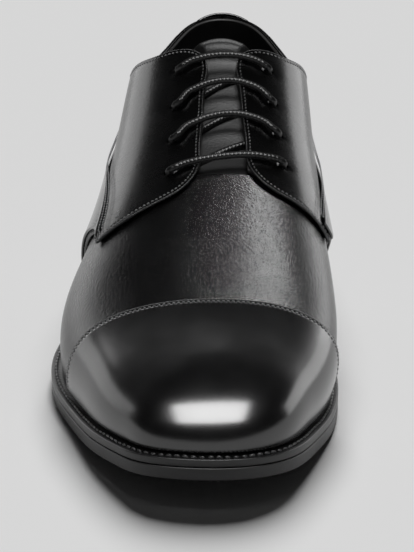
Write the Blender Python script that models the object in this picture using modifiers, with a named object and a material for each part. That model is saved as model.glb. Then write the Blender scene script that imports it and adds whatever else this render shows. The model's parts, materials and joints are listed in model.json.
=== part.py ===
"""Cap toe derby, right shoe, in black leather: the solids of the shoe in metres.

The shoe stands on its heel and ball, +Z up, toe toward -Y, the wearer's big toe side toward +X.
Every piece is taken from one surface, the last. A place on it has two coordinates:
the angle runs round from the heel (0) to the toe, -pi on the lateral and +pi on the medial side,
and the lift runs from the feather line on the welt (0) to the crest over the instep (1).
"""
import math

import bmesh
import bpy
import numpy as np
from mathutils import Vector

# Sizes of the last and the sole, in metres
SOLE_LENGTH = 0.300
HALF_BALL = 0.0465
LAST_HEIGHT = 0.140
HEEL_HEIGHT = 0.025
HEEL_LENGTH = 0.072
TOP_LIFT = 0.006
TOE_SPRING = 0.0095
OUTSOLE = 0.0046
WELT = 0.0028
WELT_REACH = 0.0057
HEEL_DEPTH = 0.012
TOE_DEPTH = 0.0306
HEEL_TAPER = 0.0012
BREAST_CURVE = 0.005
EDGE_ROUND = 0.0007
INSOLE_RISE = 0.0015

# Thicknesses and clearances
GAP = 0.0003
FACET_GAP = 0.00045
WALL = 0.0016
QUARTER = 0.0013
CAP = 0.0012
FOXING = 0.0011
TONGUE = 0.0022
LACE = 0.0028
FOOT_CLEARANCE = 0.0008

# Lacing: places along Y from the middle of the sole, widths across
THROAT_Y = -0.0225
FACING_TOP_Y = 0.025
FACING_FOOT_Y = -0.0205
FACING_GAP_TOP = 0.0122
FACING_GAP_FOOT = 0.0204
EYELET_BORE = 0.0037
LACE_SAG = 0.0004
TONGUE_TOP_Y = 0.0365
TONGUE_CURVE = 0.0110
TONGUE_WIDTH = 0.055
TONGUE_DROP = 0.0022
TONGUE_RISE = 0.0030
TONGUE_RISE_LENGTH = 0.005
CAP_LINE_Y = -0.0865

# Back tab: half of its width as an angle, lift over the foxing and over the top line
TAB_HALF_ANGLE = 0.235
TAB_FOOT = 0.012
TAB_RISE = 0.007

STACK = 2 * GAP + WELT + OUTSOLE
BOTTOM_COLUMNS = 29
ROWS = 9
FRONT_COLUMNS = 14

# Feather outline: station from heel to toe, reach to each side in half ball widths
OUTLINE = (
    (0.03, 0.350, 0.360),
    (0.10, 0.560, 0.570),
    (0.20, 0.690, 0.655),
    (0.33, 0.770, 0.680),
    (0.46, 0.890, 0.760),
    (0.58, 1.030, 0.870),
    (0.68, 1.140, 0.930),
    (0.76, 1.090, 0.945),
    (0.84, 0.895, 0.885),
    (0.91, 0.692, 0.742),
    (0.96, 0.482, 0.600),
    (0.99, 0.278, 0.380),
)
TOE_TURN = 0.073

# Sections: share of the sole's length, heel height, toe spring, crest height (share of the last),
# crest turn (share of half a ball), fullness of the sides and of the top
SECTIONS = (
    (0.00, 1.00, 0.00, 1.000, 0.006, 1.75, 0.960),
    (0.10, 0.98, 0.00, 0.996, 0.015, 1.48, 0.960),
    (0.20, 0.92, 0.00, 0.989, 0.026, 1.18, 0.950),
    (0.30, 0.76, 0.00, 0.896, 0.043, 0.90, 0.935),
    (0.40, 0.50, 0.00, 0.736, 0.069, 0.91, 0.915),
    (0.50, 0.24, 0.00, 0.589, 0.105, 0.935, 0.900),
    (0.60, 0.06, 0.00, 0.471, 0.140, 0.90, 0.885),
    (0.70, 0.00, 0.00, 0.379, 0.148, 0.84, 0.880),
    (0.80, 0.00, 0.05, 0.309, 0.147, 0.81, 0.870),
    (0.90, 0.00, 0.42, 0.271, 0.135, 0.81, 0.865),
    (1.00, 0.00, 1.00, 0.244, 0.123, 0.82, 0.860),
)

# Swell of the sides over the feather line: share of length, lateral, medial, in half ball widths
SWELL = (
    (0.00, 0.041, 0.054),
    (0.20, 0.102, 0.190),
    (0.34, 0.128, 0.232),
    (0.47, 0.098, 0.212),
    (0.70, 0.090, 0.191),
    (0.85, 0.080, 0.163),
    (1.00, 0.058, 0.101),
)

# Curve of the heel's back: rise, inset in heel depths
BACK = ((0.0, 0.0), (0.12, -0.21), (0.25, -0.29), (0.45, -0.125), (0.62, 0.375), (0.80, 0.75), (1.0, 1.0))
TOE_ROUNDING = 0.81

# Reach of the welt beyond the feather line: share of length, share of its reach at the toe
REACH = ((0.0, 0.62), (0.30, 0.62), (0.45, 0.65), (0.60, 0.65), (0.70, 0.70), (1.0, 1.0))

# Top line of the quarters: station, lift
TOP_LINE = (
    (0.000, 0.348),
    (0.030, 0.334),
    (0.080, 0.297),
    (0.120, 0.279),
    (0.160, 0.271),
    (0.210, 0.278),
    (0.250, 0.305),
    (0.290, 0.375),
    (0.320, 0.458),
    (0.350, 0.575),
    (0.373, 0.682),
    (0.385, 0.766),
    (0.396, 0.838),
    (0.407, 0.889),
    (0.419, 0.922),
)
# Corner where a facing turns into the wing's front edge: station past the facing's foot, lift lost
CORNER = ((0.012, 0.012), (0.023, 0.034), (0.031, 0.066), (0.036, 0.125))
ARCH_STATION = 0.320
HEEL_COLUMNS = 13
FACING_COLUMNS = 6

# Front edge of the wings: side, station added to the corner's, lean back at the feather line,
# height of the tip as a share of the corner's, sweep back below the tip
WING = {-1: (0.003, -0.022, 0.64, 0.120), 1: (-0.016, 0.030, 0.50, 0.080)}
SWEEP_POWER = 0.5

# Eyelets: side, first one's place along Y, pitch, setback from the facing's edge
EYELETS = {-1: (0.0241, 0.0151, 0.0109), 1: (0.0257, 0.0135, 0.0120)}

# Bow toward the heel of the lace bar at each pair of eyelets
LACE_BOWS = (0.0018, 0.0055, 0.0054, 0.0008)

# Top edge of the foxing: station, lift
FOXING_TOP = ((0.0, 0.170), (0.15, 0.165), (0.30, 0.205), (0.44, 0.290), (0.52, 0.400), (0.60, 0.488),
              (0.66, 0.525))
FOXING_SETBACK = 0.004
FOXING_ROWS = 6
FOXING_COLUMNS = 18


def spline(rows, value):
    """Natural cubic spline through one column of a table, against its first column."""
    xs = np.array([row[0] for row in rows], dtype=float)
    ys = np.array([row[value] for row in rows], dtype=float)
    count = len(xs)
    step = np.diff(xs)
    matrix = np.eye(count)
    right = np.zeros(count)
    for i in range(1, count - 1):
        matrix[i, i - 1] = step[i - 1]
        matrix[i, i] = 2 * (step[i - 1] + step[i])
        matrix[i, i + 1] = step[i]
        right[i] = 6 * ((ys[i + 1] - ys[i]) / step[i] - (ys[i] - ys[i - 1]) / step[i - 1])
    bend = np.linalg.solve(matrix, right)

    def curve(x):
        x = np.asarray(x, dtype=float)
        k = np.clip(np.searchsorted(xs, x, side="right") - 1, 0, count - 2)
        a = (xs[k + 1] - x) / step[k]
        b = (x - xs[k]) / step[k]
        cubic = (a ** 3 - a) * bend[k] + (b ** 3 - b) * bend[k + 1]
        return a * ys[k] + b * ys[k + 1] + cubic * step[k] ** 2 / 6

    return curve


def angle_of(station):
    """Angle round the last, on the medial side, of a station between heel (0) and toe (1)."""
    return np.arccos(1 - 2 * np.clip(station, 0, 1))


def outline_spline():
    """Feather line's X against the angle, closed round the heel and the toe."""
    rows = [(0.0, 0.0), (math.pi, TOE_TURN), (-math.pi, TOE_TURN)]
    for station, lateral, medial in OUTLINE:
        angle = float(angle_of(station))
        rows += [(-angle, -lateral), (angle, medial)]
    turn = 2 * math.pi
    wrapped = {round(angle + lap * turn, 9): x for angle, x in rows for lap in (-1, 0, 1)}
    return spline(sorted(wrapped.items()), 1)


outline_share = outline_spline()
heel_share = spline(SECTIONS, 1)
spring_share = spline(SECTIONS, 2)
crest_share = spline(SECTIONS, 3)
turn_share = spline(SECTIONS, 4)
side_fullness = spline(SECTIONS, 5)
top_fullness = spline(SECTIONS, 6)
lateral_swell = spline(SWELL, 1)
medial_swell = spline(SWELL, 2)
back_share = spline(BACK, 1)
reach_share = spline(REACH, 1)
foxing_lift = spline(FOXING_TOP, 1)


def share_at(y):
    """Share of the sole's length, from the heel."""
    return (SOLE_LENGTH / 2 - np.asarray(y)) / SOLE_LENGTH


def seat(share):
    """Height of the feather line, just over the welt; the ball has a flat spot on the floor."""
    raised = HEEL_HEIGHT * heel_share(share) + TOE_SPRING * spring_share(share)
    return STACK + np.maximum(raised, 0)


def ends(lift):
    """Y of the last's back and of its toe at a lift."""
    tilt = np.asarray(lift) * math.pi / 2
    heel_y = SOLE_LENGTH / 2 - WELT_REACH * 0.7 - HEEL_DEPTH * back_share(np.sin(tilt))
    level = np.clip(np.cos(tilt), 0, 1)
    toe_y = WELT_REACH + GAP - SOLE_LENGTH / 2 + TOE_DEPTH * (1 - level ** TOE_ROUNDING)
    return heel_y, toe_y


def last_point(angle, lift):
    """Points of the last's surface; angle and lift are arrays of one shape."""
    angle, lift = np.broadcast_arrays(np.asarray(angle, float), np.asarray(lift, float))
    tilt = lift * math.pi / 2
    level = np.clip(np.cos(tilt), 0, 1)
    heel_y, toe_y = ends(lift)
    y = heel_y + (toe_y - heel_y) * (1 - np.cos(angle)) / 2
    share = share_at(y)
    centre = HALF_BALL * turn_share(share)
    edge = HALF_BALL * outline_share(angle)
    swell = np.where(angle < 0, -lateral_swell(share), medial_swell(share)) * np.abs(np.sin(angle)) ** 0.5
    x = centre + (edge - centre) * level ** side_fullness(share) + HALF_BALL * swell * np.sin(2 * tilt)
    foot = seat(share)
    z = foot + (LAST_HEIGHT * crest_share(share) - foot) * np.sin(tilt) ** top_fullness(share)
    return np.stack([x, y, z], axis=-1)


def skin(angle, lift, out=0.0):
    """Points at a distance out from the last's surface, along its normal."""
    angle, lift, out = np.broadcast_arrays(np.asarray(angle, float), np.asarray(lift, float), out)
    step = 1e-4
    inner = np.clip(lift, step, 0.998)
    across = last_point(angle + step, inner) - last_point(angle - step, inner)
    upward = last_point(angle, inner + step) - last_point(angle, inner - step)
    normal = np.cross(upward, across)
    normal /= np.linalg.norm(normal, axis=-1, keepdims=True)
    return last_point(angle, lift) + normal * out[..., None]


def station_at(y, lift):
    """Station of a place along Y at a lift."""
    heel_y, toe_y = ends(lift)
    return (heel_y - y) / (heel_y - toe_y)


def lift_at(y, offset):
    """Lift of the points at a signed offset across from the crest, over the instep."""
    y, offset = np.broadcast_arrays(np.asarray(y, float), np.asarray(offset, float))
    side = np.where(offset < 0, -1.0, 1.0)
    low, high = np.full(y.shape, 0.3), np.ones(y.shape)
    for _ in range(40):
        middle = (low + high) / 2
        point = last_point(side * angle_of(station_at(y, middle)), middle)
        wide = np.abs(point[..., 0] - HALF_BALL * turn_share(share_at(y))) > np.abs(offset)
        low = np.where(wide, middle, low)
        high = np.where(wide, high, middle)
    return (low + high) / 2


def instep_point(y, offset, out=0.0):
    """Points over the instep at a place along Y and a signed offset from the crest."""
    lift = lift_at(y, offset)
    side = np.where(np.asarray(offset) < 0, -1.0, 1.0)
    return skin(side * angle_of(station_at(y, lift)), lift, out)


def foot_lift(station):
    """Lift at which an overlay starts, just clear of the welt."""
    share = share_at(last_point(angle_of(station), 0.0)[..., 1])
    height = LAST_HEIGHT * crest_share(share) - seat(share)
    return np.arcsin((FOOT_CLEARANCE / height) ** (1 / top_fullness(share))) / (math.pi / 2)


def facing_gap(y):
    """Half of the gap between the facings."""
    along = (FACING_TOP_Y - np.asarray(y)) / (FACING_TOP_Y - FACING_FOOT_Y)
    return (FACING_GAP_TOP + (FACING_GAP_FOOT - FACING_GAP_TOP) * along) / 2


def top_line_rows():
    """Station and lift along the top line, from the back seam to the top of the facing."""
    curve = spline(TOP_LINE, 1)
    round_heel = np.linspace(0, float(angle_of(ARCH_STATION)), HEEL_COLUMNS)
    stations = list((1 - np.cos(round_heel)) / 2)
    stations += [station for station, _ in TOP_LINE if station > ARCH_STATION]
    return [(float(station), float(curve(station))) for station in stations]


def facing_rows():
    """Station and lift down the facing's edge; both sides lie alike."""
    rows = []
    for y in np.linspace(FACING_TOP_Y, FACING_FOOT_Y, FACING_COLUMNS):
        lift = float(lift_at(y, -facing_gap(y)))
        rows.append((float(station_at(y, lift)), lift))
    return rows


def sole_edge(angle, out):
    """X and Y of the feather line moved outward in plan."""
    angle = np.asarray(angle, float)
    step = 1e-4
    tangent = (last_point(angle + step, 0.0) - last_point(angle - step, 0.0))[..., :2]
    tangent /= np.linalg.norm(tangent, axis=-1, keepdims=True)
    normal = np.stack([-tangent[..., 1], tangent[..., 0]], axis=-1)
    return last_point(angle, 0.0)[..., :2] + normal * np.asarray(out)[..., None]


def welt_reach(angle):
    """Reach of the welt beyond the feather line."""
    return WELT_REACH * reach_share(np.clip(share_at(last_point(angle, 0.0)[..., 1]), 0, 1))


def material(name, colour, roughness):
    """Principled material of one colour."""
    made = bpy.data.materials.new(name)
    made.use_nodes = True
    shader = made.node_tree.nodes["Principled BSDF"]
    shader.inputs["Base Color"].default_value = (*colour, 1.0)
    shader.inputs["Roughness"].default_value = roughness
    shader.inputs["Metallic"].default_value = 0.0
    return made


def solid(name, verts, faces, look, collection):
    """Object from points and faces, welded where points meet."""
    mesh = bpy.data.meshes.new(name)
    mesh.from_pydata([tuple(v) for v in verts], [], faces)
    bm = bmesh.new()
    bm.from_mesh(mesh)
    bmesh.ops.remove_doubles(bm, verts=bm.verts, dist=5e-5)
    bmesh.ops.dissolve_degenerate(bm, edges=bm.edges, dist=1e-6)
    bm.to_mesh(mesh)
    bm.free()
    mesh.shade_smooth()
    mesh.materials.append(look)
    made = bpy.data.objects.new(name, mesh)
    collection.objects.link(made)
    return made


def sheet(name, points, look, collection):
    """Open surface over points[column, row], facing outward."""
    columns, rows = points.shape[:2]
    faces = []
    for k in range(columns - 1):
        for j in range(rows - 1):
            a = k * rows + j
            b = a + rows
            faces.append((a, a + 1, b + 1, b))
    return solid(name, points.reshape(-1, 3), faces, look, collection)


def thicken(shell, thickness, outward):
    """Give an open surface its thickness, outward or inward."""
    wall = shell.modifiers.new("wall", "SOLIDIFY")
    wall.thickness = thickness
    wall.offset = 1.0 if outward else -1.0


def round_edges(shell, width):
    """Round the rims of a plate."""
    bevel = shell.modifiers.new("rim", "BEVEL")
    bevel.width = width
    bevel.segments = 1
    bevel.limit_method = "ANGLE"
    bevel.angle_limit = math.radians(50)


def plate(name, top_edge, bottom_edge, top, bottom, across, look, collection, hollow=0.0):
    """Solid between two heights; edges are [station, side, xy], heights are functions of share."""
    layers = []
    for edge, height in ((bottom_edge, bottom), (top_edge, top)):
        ratio = np.linspace(0, 1, across)[None, :, None]
        plan = edge[:, None, 0] * (1 - ratio) + edge[:, None, 1] * ratio
        fade = np.linspace(0, 1, len(edge))[:, None] ** 4
        plan[..., 1] += hollow * fade * (1 - (2 * ratio[..., 0] - 1) ** 2)
        layers.append(np.concatenate([plan, height(share_at(plan[..., 1]))[..., None]], axis=-1))
    stations = len(top_edge)
    size = stations * across
    faces = []
    for k in range(stations - 1):
        for j in range(across - 1):
            a = k * across + j
            b = a + across
            faces.append((a, b, b + 1, a + 1)[::-1])
            faces.append((size + a, size + b, size + b + 1, size + a + 1))
        low, high = k * across, (k + 1) * across
        faces.append((low, high, size + high, size + low))
        low, high = low + across - 1, high + across - 1
        faces.append((low, high, size + high, size + low)[::-1])
    for k, turn in ((0, 1), (stations - 1, -1)):
        for j in range(across - 1):
            a = k * across + j
            faces.append((a, size + a, size + a + 1, a + 1)[::turn])
    return solid(name, np.concatenate(layers).reshape(-1, 3), faces, look, collection)


def edge_pair(angles, out):
    """Lateral and medial edge points, [station, side, xy], at a reach given as a function."""
    return np.stack([sole_edge(-angles, out(-angles)), sole_edge(angles, out(angles))], axis=1)


def make_outsole(look, collection):
    """Outsole: arched waist, flat ball, toe spring."""
    edge = edge_pair(np.linspace(0, math.pi, BOTTOM_COLUMNS), welt_reach)
    made = plate("outsole", edge, edge, lambda s: seat(s) - 2 * GAP - WELT, lambda s: seat(s) - STACK,
                 3, look, collection)
    round_edges(made, EDGE_ROUND)
    return made


def make_insole(look, collection):
    """Insole on the outsole, inside the welt and the upper's wall."""
    edge = edge_pair(np.linspace(0, math.pi, BOTTOM_COLUMNS), lambda a: np.full(a.shape, -WALL - 2 * GAP))
    return plate("insole", edge, edge, lambda s: seat(s) + INSOLE_RISE, lambda s: seat(s) - GAP - WELT,
                 3, look, collection)


def make_welt(look, collection):
    """Welt: a strip all round, under the upper's wall and out to the sole's edge."""
    half = np.linspace(0, math.pi, BOTTOM_COLUMNS)
    angles = np.concatenate([-half[:0:-1], half[:-1]])
    inner = sole_edge(angles, np.full(angles.shape, -WALL - GAP))
    outer = sole_edge(angles, welt_reach(angles))
    rings = []
    for edge, drop in ((inner, WELT), (inner, 0.0), (outer, 0.0), (outer, WELT)):
        height = seat(share_at(edge[:, 1])) - GAP - drop
        rings.append(np.concatenate([edge, height[:, None]], axis=1))
    points = np.stack(rings, axis=1)
    count = len(angles)
    faces = []
    for k in range(count):
        for j in range(4):
            a, b = k * 4 + j, k * 4 + (j + 1) % 4
            c, d = (k + 1) % count * 4 + (j + 1) % 4, (k + 1) % count * 4 + j
            faces.append((d, c, b, a))
    made = solid("welt", points.reshape(-1, 3), faces, look, collection)
    round_edges(made, EDGE_ROUND)
    return made


def make_heel(block_look, lift_look, collection):
    """Heel block under the seat and the top lift that it stands on."""
    angles = np.linspace(0, float(angle_of(HEEL_LENGTH / SOLE_LENGTH)), 10)
    upper_edge = edge_pair(angles, lambda a: welt_reach(a) - GAP)
    lower_edge = edge_pair(angles, lambda a: welt_reach(a) - GAP - HEEL_TAPER)

    def level(height):
        return lambda share: np.full(np.shape(share), height)

    block = plate("heel", upper_edge, lower_edge, lambda s: seat(s) - STACK - GAP, level(TOP_LIFT + GAP),
                  7, block_look, collection, BREAST_CURVE)
    piece = plate("heel_top_lift", lower_edge, lower_edge, level(TOP_LIFT), level(0.0),
                  7, lift_look, collection, BREAST_CURVE)
    round_edges(piece, EDGE_ROUND)
    return block, piece


def eyelet_at(side, k):
    """Place along Y and signed offset from the crest of one eyelet of pair k."""
    first, pitch, setback = EYELETS[side]
    y = first - k * pitch
    return y, side * (float(facing_gap(y)) + setback)


def make_eyelet_cutter(collection):
    """Eight punches, square to the facings."""
    bm = bmesh.new()
    for side in EYELETS:
        for k in range(len(LACE_BOWS)):
            y, offset = eyelet_at(side, k)
            low = Vector(instep_point(y, offset, -3 * WALL))
            high = Vector(instep_point(y, offset, 3 * WALL))
            turn = (high - low).to_track_quat("Z", "Y").to_matrix().to_4x4()
            turn.translation = (high + low) / 2
            bmesh.ops.create_cone(bm, cap_ends=True, segments=10, radius1=EYELET_BORE / 2,
                                  radius2=EYELET_BORE / 2, depth=(high - low).length, matrix=turn)
    mesh = bpy.data.meshes.new("eyelet_cutter")
    bm.to_mesh(mesh)
    bm.free()
    cutter = bpy.data.objects.new("eyelet_cutter", mesh)
    cutter.hide_render = True
    cutter.display_type = "WIRE"
    collection.objects.link(cutter)
    return cutter


def punch(shell, cutter):
    """Cut the eyelets out of a wall."""
    cut = shell.modifiers.new("eyelets", "BOOLEAN")
    cut.operation = "DIFFERENCE"
    cut.solver = "EXACT"
    cut.object = cutter


def make_upper(cutter, look, collection):
    """Vamp, counter and lining as one wall over the last, open at collar and throat."""
    rows = top_line_rows() + facing_rows()
    for offset in (facing_gap(THROAT_Y) / 2, 0.0):
        lift = float(lift_at(THROAT_Y, -offset)) if offset else 1.0
        rows.append((float(station_at(THROAT_Y, lift)), lift))
    throat_angle = float(angle_of(rows[-1][0]))
    angles = [float(angle_of(station)) for station, _ in rows]
    lifts = [lift for _, lift in rows]
    front = np.linspace(throat_angle, math.pi, FRONT_COLUMNS + 1)[1:]
    angles = np.array(angles + list(front))
    lifts = np.array(lifts + [1.0] * len(front))
    angles = np.concatenate([-angles[:0:-1], angles])
    lifts = np.concatenate([lifts[:0:-1], lifts])
    ratio = np.linspace(0, 1, ROWS + 1)
    points = skin(angles[:, None], lifts[:, None] * ratio, 0.0)
    made = sheet("upper", points, look, collection)
    thicken(made, WALL, outward=False)
    punch(made, cutter)
    return made


def wing_lean(side, height):
    """Station by which a wing's front edge leans back, at a share of the corner's height."""
    _, lean, tip, sweep = WING[side]
    return lean * (1 - height) + sweep * np.clip((tip - height) / tip, 0, 1) ** SWEEP_POWER


def make_quarter(side, cutter, look, collection):
    """Quarter with its facing and wing, over the upper on one side."""
    facing = facing_rows()
    foot_station, foot = facing[-1]
    shift = WING[side][0]
    rows = top_line_rows() + facing
    rows += [(foot_station + station, foot - drop) for station, drop in CORNER]
    stations = np.array([row[0] for row in rows])
    lifts = np.array([row[1] for row in rows])
    front = np.clip((stations - TOP_LINE[-1][0]) / (stations[-1] - TOP_LINE[-1][0]), 0, 1)
    stations = stations + shift * front ** 3
    ratio = np.linspace(0, 1, ROWS + 1)
    low = foot_lift(stations)[:, None]
    lift = low + (lifts[:, None] - low) * ratio
    station = stations[:, None] - (front ** 2)[:, None] * wing_lean(side, ratio)
    angle = np.maximum(angle_of(station), GAP / HALF_BALL)
    points = skin(side * angle, lift, FACET_GAP)
    if side < 0:
        points = points[::-1]
    name = "quarter_lateral" if side < 0 else "quarter_medial"
    made = sheet(name, points, look, collection)
    thicken(made, QUARTER, outward=True)
    punch(made, cutter)
    return made


def wing_station(side):
    """Station of a wing's front edge, at its corner."""
    return facing_rows()[-1][0] + CORNER[-1][0] + WING[side][0]


def make_foxing(look, collection):
    """Foxing: a band round the heel and forward along both sides, over the quarters."""
    corner = facing_rows()[-1][1] - CORNER[-1][1]
    halves = []
    for side in (-1, 1):
        reach = float(angle_of(wing_station(side) - FOXING_SETBACK))
        angle = np.linspace(0, reach, FOXING_COLUMNS + 1)
        station = (1 - np.cos(angle)) / 2
        ratio = np.linspace(0, 1, FOXING_ROWS + 1)
        top = foxing_lift(station)[:, None]
        low = foot_lift(station)[:, None]
        lift = low + (top - low) * ratio
        forward = (station / station[-1])[:, None] ** 4
        leaned = station[:, None] - forward * wing_lean(side, (lift - low) / (corner - low))
        points = skin(side * angle_of(leaned), lift, 2 * FACET_GAP + QUARTER)
        halves.append(points[::-1] if side < 0 else points[1:])
    made = sheet("foxing", np.concatenate(halves), look, collection)
    thicken(made, FOXING, outward=True)
    return made


def make_back_tab(look, collection):
    """Tab over the back seam, a little higher than the collar."""
    angle = np.linspace(-TAB_HALF_ANGLE, TAB_HALF_ANGLE, 7)
    station = (1 - np.cos(angle)) / 2
    low = foxing_lift(station) + TAB_FOOT
    high = spline(TOP_LINE, 1)(station) + TAB_RISE * (1 - 2 * (angle / TAB_HALF_ANGLE) ** 2)
    ratio = np.linspace(0, 1, 6)
    lift = low[:, None] + (high - low)[:, None] * ratio
    points = skin(np.broadcast_to(angle[:, None], lift.shape), lift, 2 * FACET_GAP + QUARTER)
    made = sheet("back_tab", points, look, collection)
    thicken(made, FOXING, outward=True)
    return made


def make_toe_cap(look, collection):
    """Toe cap over the vamp, its back edge straight across."""
    columns = 9
    low = float(foot_lift(1.0))
    lift = low + (1 - low) * np.linspace(0, 1, ROWS + 1)
    line = angle_of(station_at(CAP_LINE_Y, lift))
    ratio = np.linspace(0, 1, columns + 1)[:, None]
    angle = line + (math.pi - line) * ratio
    lifts = np.broadcast_to(lift, angle.shape)
    lateral = skin(-angle, lifts, FACET_GAP)
    medial = skin(angle, lifts, FACET_GAP)
    # The halves meet along the toe's middle and along the crest
    middle = (lateral[:, -1] + medial[:, -1]) / 2
    lateral[:, -1] = middle
    medial[:, -1] = middle
    points = np.concatenate([lateral, medial[-2::-1]])
    made = sheet("toe_cap", points[::-1], look, collection)
    thicken(made, CAP, outward=True)
    return made


def collar_y(offset):
    """Place along Y of the top line over the instep, at an offset from the crest."""
    rows = [row for row in TOP_LINE if row[0] > ARCH_STATION]
    edge = last_point(angle_of([row[0] for row in rows]), [row[1] for row in rows])[::-1]
    away = edge[:, 0] - HALF_BALL * turn_share(share_at(edge[:, 1]))
    return np.interp(offset, away, edge[:, 1])


def make_tongue(look, collection):
    """Tongue under the facings, joined to the vamp at the throat, risen behind the top line."""
    front_y = THROAT_Y - 0.006
    across = np.linspace(-1, 1, 11)
    along = np.linspace(0, 1, 15)
    top_y = TONGUE_TOP_Y - TONGUE_CURVE * across ** 2
    y = front_y + (top_y[:, None] - front_y) * along
    width = TONGUE_WIDTH / 2 * (0.84 + 0.16 * along)
    offset = across[:, None] * width
    drop = np.clip((y - THROAT_Y) / 0.010, 0, 1)
    risen = np.clip((y - collar_y(np.abs(offset))) / TONGUE_RISE_LENGTH, 0, 1)
    rise = TONGUE_RISE * (1 - np.abs(across) ** 3)[:, None] * risen ** 2 * (3 - 2 * risen)
    out = rise - WALL - FACET_GAP - TONGUE_DROP * drop
    points = instep_point(y, np.where(np.abs(offset) < 1e-6, 1e-6, offset), out)
    made = sheet("tongue", points[::-1], look, collection)
    thicken(made, TONGUE, outward=False)
    return made


def lace_route(k, points=13):
    """Centre line of the lace bar between the eyelets of pair k."""
    ratio = np.linspace(-1, 1, points)
    ends_y, reach = zip(eyelet_at(-1, k), eyelet_at(1, k))
    arch = 1 - ratio ** 2
    y = np.interp(ratio, (-1, 1), ends_y) + LACE_BOWS[k] * arch
    offset = np.interp(ratio, (-1, 1), reach)
    rest = FACET_GAP + QUARTER + LACE / 2 + GAP
    sag = LACE_SAG * arch ** 4
    return instep_point(y, np.where(np.abs(offset) < 1e-6, 1e-6, offset), rest - sag)


def make_lace_bar(k, look, collection):
    """One straight lace bar over the facings."""
    name = f"lace_bar_{k + 1}"
    curve = bpy.data.curves.new(name, "CURVE")
    curve.dimensions = "3D"
    curve.bevel_depth = LACE / 2
    curve.bevel_resolution = 2
    curve.use_fill_caps = True
    route = lace_route(k)
    path = curve.splines.new("POLY")
    path.points.add(len(route) - 1)
    for point, place in zip(path.points, route):
        point.co = (*place, 1.0)
    curve.materials.append(look)
    made = bpy.data.objects.new(name, curve)
    collection.objects.link(made)
    return made


def stand_at_origin(pieces):
    """Move every piece so that the middle of the shoe's box is over the origin."""
    bpy.context.view_layer.update()
    graph = bpy.context.evaluated_depsgraph_get()
    low = np.full(3, np.inf)
    high = np.full(3, -np.inf)
    for piece in pieces:
        mesh = piece.evaluated_get(graph).to_mesh()
        places = np.array([tuple(vertex.co) for vertex in mesh.vertices])
        low = np.minimum(low, places.min(axis=0))
        high = np.maximum(high, places.max(axis=0))
        piece.evaluated_get(graph).to_mesh_clear()
    shift = Vector((-(low[0] + high[0]) / 2, -(low[1] + high[1]) / 2, -low[2]))
    return shift


def main():
    """Build the shoe."""
    for old in list(bpy.data.objects):
        bpy.data.objects.remove(old, do_unlink=True)
    shoe = bpy.data.collections.new("cap_toe_derby")
    tools = bpy.data.collections.new("cutters")
    bpy.context.scene.collection.children.link(shoe)
    bpy.context.scene.collection.children.link(tools)

    polished = material("polished_leather", (0.013, 0.013, 0.014), 0.26)
    grained = material("grained_leather", (0.016, 0.016, 0.017), 0.42)
    lining = material("lining_leather", (0.020, 0.019, 0.018), 0.60)
    rubber = material("sole_rubber", (0.022, 0.022, 0.023), 0.45)
    stacked = material("stacked_leather", (0.018, 0.018, 0.018), 0.38)
    cord = material("waxed_cord", (0.014, 0.014, 0.014), 0.55)

    cutter = make_eyelet_cutter(tools)
    pieces = [
        make_outsole(rubber, shoe),
        make_welt(stacked, shoe),
        *make_heel(stacked, rubber, shoe),
        make_insole(lining, shoe),
        make_upper(cutter, polished, shoe),
        make_toe_cap(polished, shoe),
        make_quarter(-1, cutter, polished, shoe),
        make_quarter(1, cutter, polished, shoe),
        make_foxing(polished, shoe),
        make_back_tab(polished, shoe),
        make_tongue(grained, shoe),
    ]
    pieces += [make_lace_bar(k, cord, shoe) for k in range(len(LACE_BOWS))]
    shift = stand_at_origin(pieces)
    for piece in pieces + [cutter]:
        piece.location = shift


main()
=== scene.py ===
"""Looks of a cap toe derby, a right shoe in black polished leather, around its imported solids.

The shoe stands on its heel and ball, +Z up, toe toward -Y, the wearer's big toe side toward +X.
Every leather piece is a patch of one surface, the last. A place on it has two coordinates: the angle
runs round from the heel (0) to the toe, -pi on the lateral and +pi on the medial side, and the lift
runs from the feather line on the welt (0) to the crest over the instep (1).
"""
from __future__ import annotations

import json
import logging
import math
from dataclasses import dataclass, field
from enum import Enum
from typing import Callable, Sequence

import bmesh
import bpy
import numpy as np
from mathutils import Matrix, Vector

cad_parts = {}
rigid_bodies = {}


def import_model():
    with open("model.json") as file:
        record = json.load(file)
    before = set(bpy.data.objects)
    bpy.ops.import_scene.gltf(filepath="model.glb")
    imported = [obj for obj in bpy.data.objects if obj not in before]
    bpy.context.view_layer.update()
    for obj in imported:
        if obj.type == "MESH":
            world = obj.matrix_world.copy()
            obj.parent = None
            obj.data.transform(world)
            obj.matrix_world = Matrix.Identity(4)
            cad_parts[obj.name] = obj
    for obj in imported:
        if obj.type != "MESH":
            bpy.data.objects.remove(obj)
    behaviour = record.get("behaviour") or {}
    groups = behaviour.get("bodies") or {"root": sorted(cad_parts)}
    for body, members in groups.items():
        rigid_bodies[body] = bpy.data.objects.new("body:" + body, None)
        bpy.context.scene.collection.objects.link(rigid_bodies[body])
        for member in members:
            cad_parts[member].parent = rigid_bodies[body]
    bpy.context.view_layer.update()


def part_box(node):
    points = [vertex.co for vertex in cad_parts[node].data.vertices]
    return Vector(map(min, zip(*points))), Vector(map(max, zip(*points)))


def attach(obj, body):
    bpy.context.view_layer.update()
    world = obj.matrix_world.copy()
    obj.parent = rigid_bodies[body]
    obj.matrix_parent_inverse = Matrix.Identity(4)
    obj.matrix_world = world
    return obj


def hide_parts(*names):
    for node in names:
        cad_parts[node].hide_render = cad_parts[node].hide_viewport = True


log = logging.getLogger("cap_toe_derby")

Pair = tuple[np.ndarray, np.ndarray]
Patch = Callable[[np.ndarray, np.ndarray], Pair]
Link = object

MM = 0.001
ROOT = "root"

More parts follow.
